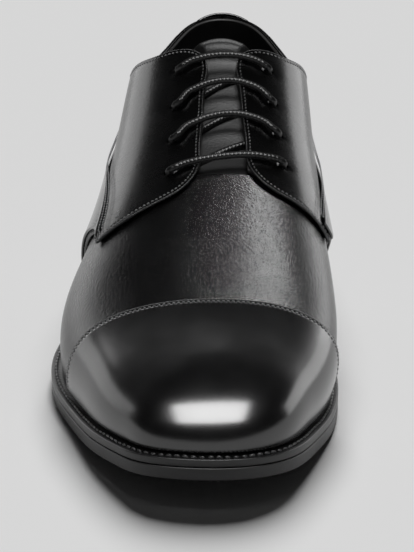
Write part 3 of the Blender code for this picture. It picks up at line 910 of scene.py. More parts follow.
class Paint:
    """The nodes of one material, ending in a Principled shader."""

    def __init__(self, name: str, fixed: dict[str, object]) -> None:
        """Start a material.

        Args:
            name: its name.
            fixed: values set straight on the Principled shader's sockets.
        """
        self.material = bpy.data.materials.new(f"{name}_finish")
        self.material.use_nodes = True
        self.tree = self.material.node_tree
        self.shader = self.tree.nodes["Principled BSDF"]
        for socket, value in fixed.items():
            self.shader.inputs[socket].default_value = value

    def node(self, kind: str, settings: dict[str, object], values: dict[object, Link],
             output: int | str = 0) -> Number:
        """Add a node.

        Args:
            kind: Blender's name of the node type.
            settings: the node's own settings, set first.
            values: numbers, colours or links, by the name or the place of the socket.
            output: the socket that is given back.

        Returns:
            The output, as a number.
        """
        made = self.tree.nodes.new(kind)
        for key, value in settings.items():
            setattr(made, key, value)
        for key, value in values.items():
            if isinstance(value, Number):
                self.tree.links.new(value.socket, made.inputs[key])
            else:
                made.inputs[key].default_value = value
        return Number(self, made.outputs[output])

    def place(self) -> Number:
        """Object coordinates, in metres."""
        return self.node("ShaderNodeTexCoord", {}, {}, "Object")

    def noise(self, size: float, detail: float = 2.0, rough: float = 0.5, place: Link = None) -> Number:
        """Noise with bumps of a size in metres."""
        values = {"Vector": place or self.place(), "Scale": 1 / size, "Detail": detail, "Roughness": rough}
        return self.node("ShaderNodeTexNoise", {}, values, 0)

    def cells(self, size: float) -> Number:
        """Cells of a size in metres: smooth distance from the nearest cell's middle."""
        values = {"Vector": self.place(), "Scale": 1 / size}
        return self.node("ShaderNodeTexVoronoi", {"feature": "SMOOTH_F1"}, values, "Distance")

    def rim(self) -> Number:
        """Closeness to the edge of a leather piece, from its attribute."""
        return self.node("ShaderNodeAttribute", {"attribute_name": "rim"}, {}, "Fac")

    def mix(self, share: Link, first: Sequence[float], second: Sequence[float]) -> Number:
        """Colour between two colours."""
        values = {0: share, 6: (*first, 1.0), 7: (*second, 1.0)}
        return self.node("ShaderNodeMix", {"data_type": "RGBA"}, values, 2)

    def feed(self, socket: str, value: Number) -> None:
        """Link a value to a socket of the Principled shader."""
        self.tree.links.new(value.socket, self.shader.inputs[socket])

    def bump(self, height: Number, depth: float) -> None:
        """Link a height to the shader's normal, as a bump of a depth in metres."""
        values = {"Height": height, "Distance": depth, "Strength": 1.0}
        self.feed("Normal", self.node("ShaderNodeBump", {}, values))


@dataclass(frozen=True)
class Leather:
    """Black leather: a grain of small cells, uneven gloss and worn, polished edges."""

    name: str
    colour: tuple[float, float, float] = (0.004, 0.004, 0.0042)
    worn: tuple[float, float, float] = (0.010, 0.010, 0.0105)
    roughness: float = 0.22
    uneven: float = 0.05
    grain: float = 0.45 * MM
    depth: float = 0.012 * MM
    coat: float = 0.45
    coat_roughness: float = 0.17
    specular: float = 0.8

    def make(self) -> bpy.types.Material:
        """Make the material."""
        paint = Paint(self.name, {"Specular IOR Level": self.specular, "Coat Weight": self.coat,
                                  "Coat Roughness": self.coat_roughness})
        pebbles = paint.cells(self.grain)
        pores = paint.noise(self.grain * 0.45, 3.0, 0.6)
        cloud = paint.noise(9 * MM, 2.0)
        rim = paint.rim()
        paint.feed("Base Color", paint.mix((cloud * 0.5 + rim * 0.7).held(), self.colour, self.worn))
        rough = self.roughness + (cloud - 0.5) * self.uneven * 2 + (pores - 0.5) * self.uneven
        paint.feed("Roughness", rough)
        paint.bump(pebbles * 0.7 + pores * 0.5, self.depth)
        return paint.material


@dataclass(frozen=True)
class Edging:
    """Dressed sole edge: dyed and waxed layers with fine lines along them."""

    name: str
    colour: tuple[float, float, float] = (0.012, 0.012, 0.0125)
    worn: tuple[float, float, float] = (0.03, 0.03, 0.031)
    roughness: float = 0.36
    layer: float = 0.9 * MM
    depth: float = 0.02 * MM

    def make(self) -> bpy.types.Material:
        """Make the material."""
        paint = Paint(self.name, {"Specular IOR Level": 0.5})
        squash = paint.node("ShaderNodeMapping", {}, {
            "Vector": paint.place(), "Scale": (0.12, 0.12, 1.0)})
        lines = paint.noise(self.layer, 3.0, 0.6, squash)
        specks = paint.noise(0.35 * MM, 2.0)
        cloud = paint.noise(14 * MM, 2.0)
        paint.feed("Base Color", paint.mix((lines * cloud * 1.6).held(), self.colour, self.worn))
        paint.feed("Roughness", self.roughness + (cloud - 0.5) * 0.14 + (specks - 0.5) * 0.10)
        paint.bump(lines * 0.8 + specks * 0.4, self.depth)
        return paint.material


@dataclass(frozen=True)
class Thread:
    """Waxed thread or cord: fine fibres and a dull shine."""

    name: str
    colour: tuple[float, float, float] = (0.012, 0.012, 0.012)
    light: tuple[float, float, float] = (0.03, 0.03, 0.031)
    roughness: float = 0.42
    fibre: float = 0.16 * MM

    def make(self) -> bpy.types.Material:
        """Make the material."""
        paint = Paint(self.name, {"Specular IOR Level": 0.55, "Sheen Weight": 0.08})
        fibres = paint.noise(self.fibre, 2.0, 0.6)
        cloud = paint.noise(2.2 * MM, 2.0)
        paint.feed("Base Color", paint.mix((fibres * cloud * 1.8).held(), self.colour, self.light))
        paint.feed("Roughness", self.roughness + (fibres - 0.5) * 0.2)
        paint.bump(fibres, 0.02 * MM)
        return paint.material


class Finish(Enum):
    """Finishes of the shoe, each with its maker and the record's slot that it stands for."""

    POLISHED = (Leather("polished_leather"), "polished_leather")
    CALF = (Leather("grained_calf", roughness=0.24, uneven=0.06, grain=0.8 * MM, depth=0.17 * MM, coat=0.0),
            "polished_leather")
    SMOOTH = (Leather("smooth_calf", roughness=0.27, uneven=0.06, grain=0.8 * MM, depth=0.03 * MM, coat=0.0),
              "polished_leather")
    GRAINED = (Leather("grained_leather", roughness=0.48, grain=0.7 * MM, depth=0.10 * MM, coat=0.0,
                       specular=0.6),
               "grained_leather")
    LINING = (Leather("lining_leather", (0.012, 0.0115, 0.011), (0.02, 0.019, 0.018), 0.5, 0.08,
                      0.6 * MM, 0.02 * MM, 0.0, 0.3), "lining_leather")
    STACKED = (Edging("stacked_leather"), "stacked_leather")
    RUBBER = (Edging("sole_rubber", roughness=0.42, layer=1.6 * MM, depth=0.012 * MM), "sole_rubber")
    CORD = (Thread("waxed_cord", (0.005, 0.005, 0.005), (0.012, 0.012, 0.0125), 0.34), "waxed_cord")
    # Painted highlight: the stitches' thread is light grey, which stands in for the shine of the thread; its
    # fibres vary as real thread does
    STITCH = (Thread("sewing_thread", (0.26, 0.26, 0.265), (0.70, 0.70, 0.71), 0.30), "waxed_cord")
    # Painted highlight: light grey colours for the lines along the cut edges, where the edges catch the
    # light
    RIM = (Thread("cut_edge", (0.10, 0.10, 0.102), (0.40, 0.40, 0.405), 0.26), "polished_leather")

    def dress(self, piece: bpy.types.Object, *nodes: str) -> None:
        """Give a piece this finish and its place on the root body.

        Args:
            piece: the piece.
            nodes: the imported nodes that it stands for.
        """
        look, slot = self.value
        made = bpy.data.materials.get(f"{look.name}_finish") or look.make()
        piece.data.materials.clear()
        piece.data.materials.append(made)
        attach(piece, ROOT)
        if nodes:
            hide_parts(*nodes)
        log.info("%s: %d faces", piece.name, len(piece.data.polygons))


@dataclass
class WingEdge:
    """Upper edge of a quarter: top line, facing and corner as one smooth line.

    Angle and lift are splines over the chord length through the table's rows.
    """

    last: Last
    side: Side

    def __post_init__(self) -> None:
        """Lay the splines through the rows."""
        top = Curve.through(TOP_LINE)
        smooth_to = 0.350
        angle = np.linspace(0, float(angle_of(smooth_to)), 40)
        station = (1 - np.cos(angle)) / 2
        rows = list(zip(station, top(station))) + [row for row in TOP_LINE if row[0] > smooth_to]
        y = np.linspace(FACING_TOP_Y, FACING_FOOT_Y, 6)
        around, lift = self.last.place_at(y, -facing_gap(y))
        rows += list(zip((1 - np.cos(around)) / 2, lift))
        self.foot = rows[-1]
        rows += [(self.foot[0] + station, self.foot[1] - drop) for station, drop in CORNER]
        table = np.array(rows)
        angle = angle_of(table[:, 0])
        along = run_length(self.last.point(angle, table[:, 1]))
        self.foot_share = float(along[-1 - len(CORNER)] / along[-1])
        self.end = float(table[-1, 0])
        self.angle = Curve.through(list(zip(along / along[-1], angle)))
        self.lift = Curve.through(list(zip(along / along[-1], table[:, 1])))

    def raw(self, share: np.ndarray) -> Pair:
        """Station and lift at a share of the edge, before the wing's own shift."""
        return (1 - np.cos(np.maximum(self.angle(share), 0))) / 2, self.lift(share)

    def patch(self, u: np.ndarray, v: np.ndarray) -> Pair:
        """Angles and lifts of the quarter.

        Args:
            u: share along the upper edge, from the back seam.
            v: share of the height, up from the welt.

        Returns:
            Angles and lifts.
        """
        station, top = self.raw(u)
        shift = WING[self.side][0]
        front = np.clip((station - TOP_LINE[-1][0]) / (self.end - TOP_LINE[-1][0]), 0, 1)
        station = station + shift * front ** 3
        low = self.last.foot_lift(station)
        station = station - front ** 2 * wing_lean(self.side, v)
        angle = np.maximum(angle_of(station), GAP / self.last.half_ball)
        return self.side.value * angle, low + (top - low) * v

    def border(self, start: float, foot: float) -> Pair:
        """Line along the upper edge, then down the wing's front.

        Args:
            start: share of the upper edge at which the line starts.
            foot: share of the wing's height at which it ends.

        Returns:
            Angles and lifts.
        """
        along, down = np.linspace(start, 1, 400), np.linspace(1, foot, 160)[1:]
        top, front = self.patch(along, np.ones(400)), self.patch(np.ones(159), down)
        return np.concatenate([top[0], front[0]]), np.concatenate([top[1], front[1]])


@dataclass
class Leathers:
    """The upper: vamp, lining, quarters, toe cap, foxing, back tab and tongue, with their seams."""

    last: Last
    seams: list[Seam] = field(default_factory=list)
    # Lines along the cut edges for the painted edge highlights
    rims: list[Seam] = field(default_factory=list)
    tacks: dict[Side, tuple[float, float, float]] = field(default_factory=lambda: {
        Side.LATERAL: (0.620, 0.634, 0.60), Side.MEDIAL: (0.577, 0.591, 0.486)})
    tack_width: float = 0.006
    # Inset and rise of the painted edge highlights
    rim_inset: float = 0.28 * MM
    rim_rise: float = 0.42 * MM
    edge_inset: float = 1.5 * MM
    cap_inset: float = 1.5 * MM
    tongue_inset: float = 1.7 * MM
    foxing_inset: float = 1.3 * MM
    second_row: float = 1.5 * MM
    stitch_rise: float = 0.52 * MM
    # Pitch and thickness of the capsules of the painted edge highlights
    rim_pitch: float = 1.2 * MM
    rim_thick: float = 0.40 * MM
    tack_pitch: float = 0.8 * MM
    tongue_pitch: float = 2.4 * MM
    tongue_root: float = 0.006
    tongue_drop_run: float = 0.010
    pad_height: float = 0.16 * MM
    pad_top: float = 0.0190
    pad_pitch: float = 0.0145
    tab_inset: float = 0.05
    tab_foot_inset: float = 0.03
    funnel: float = 0.28 * MM
    tab_foot: float = 0.012
    tab_rise: float = 0.007

    def seam(self, place: Pair, base: float | np.ndarray, thickness: float, **sizes: float) -> Seam:
        """Seam over a line on the surface, kept for the stitching.

        Args:
            place: angles and lifts of the line.
            base: distance of the piece's inner face from the last.
            thickness: the piece's thickness.
            sizes: other sizes of the seam.

        Returns:
            The seam, its line on the piece's middle surface.
        """
        line = self.last.skin(*place, base + thickness / 2)
        made = Seam(line, self.last.normal(*place), **sizes)
        self.seams.append(made)
        return made

    def rim(self, place: Pair, base: float | np.ndarray, thickness: float) -> None:
        """Keep a line along a cut edge for a painted highlight: a light-grey row where the edge catches the
        light.

        Args:
            place: angles and lifts of the line.
            base: distance of the piece's inner face from the last.
            thickness: the piece's thickness.
        """
        line = self.last.skin(*place, base + thickness / 2)
        self.rims.append(Seam(line, self.last.normal(*place), pitch=self.rim_pitch, cover=1.25,
                              thread=self.rim_thick))

    def shell(self, name: str, patch: Patch, base: float, thickness: float, **sizes: object) -> Shell:
        """Shell over this last."""
        return Shell(name, patch, base, thickness, self.last, **sizes)

    def funnels(self, side: Side, out: float) -> list[Callable[[np.ndarray], np.ndarray]]:
        """Soft dents around a side's eyelets, a Gaussian of the distance each.

        Args:
            side: the side.
            out: distance of the outer face from the last.

        Returns:
            One function that gives the dents' depth at points, in a list.
        """
        centres = [self.last.instep(*map(np.float64, eyelet_at(side, k)), out) for k in range(EYELET_COUNT)]

        def dent(points: np.ndarray) -> np.ndarray:
            """Depth of the dents at points, negative."""
            depth = np.zeros(points.shape[:-1])
            for centre in centres:
                away = np.linalg.norm(points - centre, axis=-1)
                depth -= self.funnel * np.exp(-(away / (EYELET_BORE * 0.75)) ** 2)
            return depth

        return [dent]

    def punches(self) -> list[bpy.types.Object]:
        """Make the eyelets' tools.

        Returns:
            Round punches through facing and lining, square to the surface, lateral ones first.
        """
        tools = []
        for side in Side:
            for k in range(EYELET_COUNT):
                y, offset = map(np.float64, eyelet_at(side, k))
                low, high = (Vector(self.last.instep(y, offset, out)) for out in (-4 * WALL, 4 * WALL))
                work = bmesh.new()
                turn = (high - low).to_track_quat("Z", "Y").to_matrix().to_4x4()
                turn.translation = (high + low) / 2
                bmesh.ops.create_cone(work, cap_ends=True, segments=28, radius1=EYELET_BORE / 2,
                                      radius2=EYELET_BORE / 2, depth=(high - low).length, matrix=turn)
                mesh = bpy.data.meshes.new("punch")
                work.to_mesh(mesh)
                work.free()
                tools.append(bpy.data.objects.new("punch", mesh))
        return tools

    def cut(self, piece: bpy.types.Object, tools: Sequence[bpy.types.Object]) -> None:
        """Cut the punches out of a piece, and keep the result as its mesh.

        Args:
            piece: the piece.
            tools: the punches.
        """
        for tool in tools:
            bpy.context.scene.collection.objects.link(tool)
            step = piece.modifiers.new("punch", "BOOLEAN")
            step.operation = "DIFFERENCE"
            step.solver = "EXACT"
            step.object = tool
        graph = bpy.context.evaluated_depsgraph_get()
        mesh = bpy.data.meshes.new_from_object(piece.evaluated_get(graph))
        piece.modifiers.clear()
        piece.data = mesh
        for tool in tools:
            bpy.context.scene.collection.objects.unlink(tool)

    def make_quarter(self, side: Side) -> bpy.types.Object:
        """Make a quarter with facing and wing, its edge row and its bar tack.

        Args:
            side: its side of the shoe.

        Returns:
            The quarter, without its eyelets.
        """
        edge = WingEdge(self.last, side)
        base = FACET_GAP
        border = edge.border(0.12, 0.05)
        row = self.last.inset(*border, -side.value * self.edge_inset)
        seams = [self.seam(row, base, QUARTER)]
        low, high, lift = self.tacks[side]
        station = np.linspace(low, high, 30)
        for shift in (-self.tack_width, 0, self.tack_width):
            tack = side.value * angle_of(station), np.full(30, lift + shift)
            self.seam(tack, base, QUARTER, pitch=self.tack_pitch, cover=0.95)
        # Line for the painted edge highlight along the quarter's edge
        self.rim(self.last.inset(*border, -side.value * self.rim_inset), base, QUARTER)
        return self.shell(f"{side.name.lower()}_quarter", edge.patch, base, QUARTER, u_count=230,
                          v_count=26, bead=0.07 * MM, seams=seams,
                          dents=self.funnels(side, base + QUARTER)).build()

    def make_lining(self) -> bpy.types.Object:
        """Lining of the quarters, round the heel, up to the top line and the facings."""
        edge = WingEdge(self.last, Side.LATERAL)

        def patch(u: np.ndarray, v: np.ndarray) -> Pair:
            """Angles and lifts; u runs round the heel, v up from the feather line."""
            around = 2 * u - 1
            station, top = edge.raw(np.abs(around) * edge.foot_share)
            return np.where(around < 0, -1, 1) * angle_of(station), top * v

        return self.shell("quarter_lining", patch, -WALL, WALL, u_count=260, v_count=24).build()

    def over_crest(self, line_y: float, low: float) -> Patch:
        """Patch from a line across the shoe to the toe.

        Args:
            line_y: place of the line along Y.
            low: lift of the patch's foot.

        Returns:
            The patch; u runs to the toe, v from side to side over the crest.
        """

        def patch(u: np.ndarray, v: np.ndarray) -> Pair:
            """Angles and lifts."""
            across = 2 * v - 1
            lift = low + (1 - low) * (1 - np.abs(across))
            line = angle_of(self.last.station_at(line_y, lift))
            return np.where(across < 0, -1, 1) * (line + (math.pi - line) * u), lift

        return patch

    def make_vamp(self) -> bpy.types.Object:
        """Vamp, from the throat to the toe."""
        return self.shell("vamp", self.over_crest(THROAT_Y, 0.0), -WALL, WALL, u_count=90, v_count=150,
                          u_end=(0.0,), v_end=HIDDEN_EDGE, wrapped=True).build()

    def make_cap(self) -> bpy.types.Object:
        """Toe cap with a row along its straight rear edge."""
        patch = self.over_crest(CAP_LINE_Y, float(self.last.foot_lift(1.0)))
        v = np.linspace(0.01, 0.99, 500)
        row = self.last.inset(*patch(np.zeros(500), v), self.cap_inset)
        seams = [self.seam(row, FACET_GAP, CAP)]
        # Line for the painted edge highlight along the cap's rear edge
        self.rim(self.last.inset(*patch(np.zeros(500), v), self.rim_inset), FACET_GAP, CAP)
        return self.shell("straight_cap", patch, FACET_GAP, CAP, u_count=60, v_count=150, u_end=(0.0,),
                          v_end=HIDDEN_EDGE, wrapped=True, bead=0.06 * MM, seams=seams).build()

    def make_foxing(self) -> bpy.types.Object:
        """Foxing round the heel and forward along both sides, with two rows along its top."""
        top = Curve.through(FOXING_TOP)
        ends = {side: WingEdge(self.last, side).end + WING[side][0] - FOXING_SETBACK for side in Side}
        corner = WingEdge(self.last, Side.LATERAL).foot[1] - CORNER[-1][1]

        def patch(u: np.ndarray, v: np.ndarray) -> Pair:
            """Angles and lifts; u runs round the heel from wing to wing, v up from the welt."""
            around = 2 * u - 1
            end = np.where(around < 0, ends[Side.LATERAL], ends[Side.MEDIAL])
            station = (1 - np.cos(angle_of(end) * np.abs(around))) / 2
            low = self.last.foot_lift(station)
            lift = low + (top(station) - low) * v
            height = (lift - low) / (corner - low)
            lean = np.where(around < 0, wing_lean(Side.LATERAL, height), wing_lean(Side.MEDIAL, height))
            station = station - (station / end) ** 4 * lean
            return np.where(around < 0, -1, 1) * angle_of(station), lift

        u = np.linspace(0.004, 0.996, 700)
        rows = [self.last.inset(*patch(u, np.ones(700)), distance)
                for distance in (self.foxing_inset, self.foxing_inset + self.second_row)]
        seams = [self.seam(row, OVERLAY, FOXING) for row in rows]
        return self.shell("heel_foxing", patch, OVERLAY, FOXING, u_count=260, v_count=20, bead=0.05 * MM,
                          seams=seams).build()

    def make_tab(self) -> bpy.types.Object:
        """Tab over the back seam, a little higher than the collar."""
        foot, top = Curve.through(FOXING_TOP), Curve.through(TOP_LINE)

        def patch(u: np.ndarray, v: np.ndarray) -> Pair:
            """Angles and lifts; u runs across the back seam, v upward."""
            angle = TAB_HALF_ANGLE * (2 * u - 1)
            station = (1 - np.cos(angle)) / 2
            low = foot(station) + self.tab_foot
            high = top(station) + self.tab_rise * (1 - 2 * (angle / TAB_HALF_ANGLE) ** 2)
            return angle + 0 * v, low + (high - low) * v

        even, full = np.linspace(0, 1, 80), np.ones(80)
        sides = (patch(self.tab_inset * full, even[::-1]), patch(even, self.tab_foot_inset * full),
                 patch((1 - self.tab_inset) * full, even))
        row = tuple(np.concatenate([side[k] for side in sides]) for k in (0, 1))
        return self.shell("heel_tab", patch, OVERLAY, FOXING, u_count=30, v_count=30, v_start=FREE_EDGE,
                          bead=0.05 * MM, seams=[self.seam(row, OVERLAY, FOXING)]).build()

    def collar_y(self, offset: np.ndarray) -> np.ndarray:
        """Top line over the instep.

        Args:
            offset: distances across from the crest.

        Returns:
            The top line's places along Y.
        """
        rows = np.array([row for row in TOP_LINE if row[0] > ARCH_STATION])[::-1]
        edge = self.last.point(angle_of(rows[:, 0]), rows[:, 1])
        away = edge[:, 0] - self.last.half_ball * self.last.turn(self.last.share_at(edge[:, 1]))
        return np.interp(offset, away, edge[:, 1])

    def make_tongue(self) -> bpy.types.Object:
        """Tongue under the facings, a little padded, with a row along its top."""
        front_y = THROAT_Y - self.tongue_root

        def spread(u: np.ndarray, v: np.ndarray) -> Pair:
            """Places along Y and offsets across; u runs across, v from the throat to the top."""
            across = 2 * u - 1
            y = front_y + (TONGUE_TOP_Y - TONGUE_CURVE * across ** 2 - front_y) * v
            return y, across * TONGUE_WIDTH / 2 * (0.84 + 0.16 * v)

        def patch(u: np.ndarray, v: np.ndarray) -> Pair:
            """Angles and lifts."""
            y, offset = spread(u, v)
            return self.last.place_at(y, np.where(np.abs(offset) < 1e-6, 1e-6, offset))

        def base(u: np.ndarray, v: np.ndarray) -> np.ndarray:
            """Distance of the inner face from the last: under the facings, risen behind the top line."""
            y, offset = spread(u, v)
            drop = np.clip((y - THROAT_Y) / self.tongue_drop_run, 0, 1)
            risen = np.clip((y - self.collar_y(np.abs(offset))) / TONGUE_RISE_LENGTH, 0, 1)
            rise = TONGUE_RISE * (1 - np.abs(2 * u - 1) ** 3) * risen ** 2 * (3 - 2 * risen)
            return rise - WALL - FACET_GAP - TONGUE_DROP * drop - TONGUE

        u = np.linspace(0.05, 0.95, 160)
        length = TONGUE_TOP_Y - front_y
        v = np.full(160, 1 - self.tongue_inset / length)
        row = self.seam(patch(u, v), base(u, v), TONGUE, pitch=self.tongue_pitch)
        # Line for the painted edge highlight along the tongue's top
        v = np.full(160, 1 - self.rim_inset / length)
        self.rim(patch(u, v), base(u, v), TONGUE)
        return self.shell("padded_tongue", patch, base, TONGUE, u_count=50, v_count=60, bead=0.10 * MM,
                          rounding=0.9 * MM, v_start=HIDDEN_EDGE, seams=[row],
                          dents=[self.padding]).build()

    def padding(self, points: np.ndarray) -> np.ndarray:
        """Padding of the tongue: soft swells between the lace bars, placed along Y."""
        y = points[..., 1] - self.last.shift[1]
        return self.pad_height * np.cos((y - self.pad_top) / self.pad_pitch * 2 * math.pi)

    def build(self) -> None:
        """Make and dress every leather piece."""
        tools = self.punches()
        lining = self.make_lining()
        self.cut(lining, tools)
        Finish.LINING.dress(lining, "upper")
        Finish.CALF.dress(self.make_vamp(), "upper")
        for side, half in ((Side.LATERAL, tools[:EYELET_COUNT]), (Side.MEDIAL, tools[EYELET_COUNT:])):
            quarter = self.make_quarter(side)
            self.cut(quarter, half)
            Finish.SMOOTH.dress(quarter, f"quarter_{side.name.lower()}")
        Finish.POLISHED.dress(self.make_cap(), "toe_cap")
        Finish.POLISHED.dress(self.make_foxing(), "foxing")
        Finish.POLISHED.dress(self.make_tab(), "back_tab")
        Finish.GRAINED.dress(self.make_tongue(), "tongue")
        # Stitches of the upper, in thread with a painted highlight in its colour
        Finish.STITCH.dress(stitch_rows("upper_stitches", self.seams, self.stitch_rise))
        # Painted highlight: rows of light-grey capsules along the cut edges
        Finish.RIM.dress(stitch_rows("edge_rims", self.rims, self.rim_rise))


@dataclass
class Bottom:
    """Sole unit: outsole, welt, heel, top lift and insole."""

    last: Last
    columns: int = 200
    heel_length: float = 0.072
    top_lift: float = 0.006
    heel_taper: float = 0.0012
    breast_curve: float = 0.005
    insole_rise: float = 0.0015
    round: float = 0.5 * MM
    stitch_pitch: float = 2.9 * MM

    def reach(self, offset: float) -> Callable[[np.ndarray], np.ndarray]:
        """Reach of the welt plus an offset, by angle."""
        return lambda angle: self.last.welt_out(angle) + offset

    def level(self, drop: float) -> Callable[[np.ndarray], np.ndarray]:
        """Height a drop below the feather line, by share."""
        return lambda share: self.last.seat(share) - drop

    def make_outsole(self) -> bpy.types.Object:
        """Outsole with a rounded rim and a shallow hollow along its side."""
        top, bottom = 2 * GAP + WELT, self.last.stack
        r = self.round
        rows = [(-r, top), (-0.3 * r, top + 0.1 * r), (0, top + 0.4 * r), (0, top + 1.2 * r),
                (-0.12 * MM, top + 0.5 * OUTSOLE), (0, bottom - 1.2 * r), (0, bottom - 0.6 * r),
                (-0.25 * r, bottom - 0.2 * r), (-r, bottom)]
        half = np.linspace(0, math.pi, self.columns)
        built = [(self.reach(o), self.level(d)) for o, d in rows]
        return Slab("rubber_outsole", self.last, half).build(built)

    def make_insole(self) -> bpy.types.Object:
        """Insole inside the welt and the wall."""
        inside = -WALL - 2 * GAP
        rows = [(inside - 0.5 * MM, -self.insole_rise), (inside, -self.insole_rise + 0.4 * MM),
                (inside, GAP + WELT)]
        built = [(lambda a, o=o: np.full(a.shape, o), self.level(d)) for o, d in rows]
        return Slab("sock_insole", self.last, np.linspace(0, math.pi, 120)).build(built)

    def make_heel(self) -> tuple[bpy.types.Object, bpy.types.Object]:
        """Make the heel.

        Returns:
            The block of stacked lifts, and the top lift under it.
        """
        angles = np.linspace(0, float(angle_of(self.heel_length / self.last.sole_length)), 70)
        low = self.top_lift + GAP
        lifts = 3
        groove = 0.14 * MM
        rows = []
        for k in range(lifts):
            for share, inset in ((0.02, groove), (0.07, 0.0), (0.93, 0.0), (0.98, groove)):
                rows.append(((k + share) / lifts, inset))
        rows[0], rows[-1] = (0.0, 0.0), (1.0, 0.0)

        def layer(share: float, inset: float) -> tuple[Callable, Callable]:
            """Reach and height of the block at a share of its depth."""
            out = self.reach(-GAP - self.heel_taper * share - inset)
            top = self.level(self.last.stack + GAP)
            return out, lambda s: top(s) * (1 - share) + low * share

        built = [layer(*row) for row in rows]
        block = Slab("stacked_heel", self.last, angles, 40, self.breast_curve).build(built)
        edge, r = -GAP - self.heel_taper, 0.6 * MM
        rims = [(edge - 0.4 * r, self.top_lift), (edge, self.top_lift - 0.4 * r), (edge, 1.1 * r),
                (edge - 0.3 * r, 0.3 * r), (edge - r, 0.0)]
        built = [(self.reach(o), lambda s, z=z: np.full(np.shape(s), z)) for o, z in rims]
        return block, Slab("rubber_top_lift", self.last, angles, 40, self.breast_curve).build(built)

    def make_welt(self) -> tuple[bpy.types.Object, Seam]:
        """Welt: a closed section carried round the feather line, with wheel marks and a stitch row.

        Returns:
            The welt and the seam on its top.
        """
        half = np.linspace(0, math.pi, 1300)
        angles = np.concatenate([-half[:0:-1], half[:-1]])
        reach = self.last.welt_out(angles)[:, None]
        inner = -(WALL + GAP)
        share = np.array([0, 0, 0, .08, .16, .26, .36, .46, .56, .66, .76, .85, 1, 1, 1, 1, 1, 1, 1, 1, 1])
        extra = np.array([inner, inner, inner / 2, 0, 0, 0, 0, 0, 0, 0, 0, 0, -.45 * MM, -.18 * MM,
                          -.04 * MM, 0, 0, 0, -.06 * MM, -.2 * MM, -.5 * MM])
        drop = np.array([WELT, 0, 0, 0, 0, 0, 0, 0, 0, 0, 0, 0, 0, .06 * MM, .2 * MM, .45 * MM, 1.3 * MM,
                         WELT - .45 * MM, WELT - .2 * MM, WELT - .06 * MM, WELT])
        plan = np.stack([self.last.edge(angles, reach[:, 0] * s + e) for s, e in zip(share, extra)], axis=1)
        along = run_length(plan[:, 8])
        wheel = 0.5 + 0.5 * np.cos(along[:, None] * 2 * math.pi / (self.stitch_pitch / 2))
        band = np.exp(-((share - 0.5) / 0.24) ** 2) * (share < 0.9)
        height = self.last.seat(self.last.share_at(plan[..., 1])) - GAP - drop - 0.30 * MM * wheel * band
        points = np.concatenate([plan, height[..., None]], axis=-1) + self.last.shift
        line = points[:, 8] + (0, 0, 0.12 * MM)
        seam = Seam(line, np.tile([0.0, 0.0, 1.0], (len(line), 1)), pitch=self.stitch_pitch,
                    thread=0.75 * MM, cover=0.74)
        return sweep_ring("leather_welt", points[:, ::-1]), seam

    def build(self) -> None:
        """Make and dress the sole unit."""
        Finish.RUBBER.dress(self.make_outsole(), "outsole")
        Finish.LINING.dress(self.make_insole(), "insole")
        block, lift = self.make_heel()
        Finish.STACKED.dress(block, "heel")
        Finish.RUBBER.dress(lift, "heel_top_lift")
        welt, seam = self.make_welt()
        Finish.STACKED.dress(welt, "welt")
        # Welt stitches, in thread with a painted highlight in its colour
        Finish.STITCH.dress(stitch_rows("welt_stitches", [seam], 0.0))


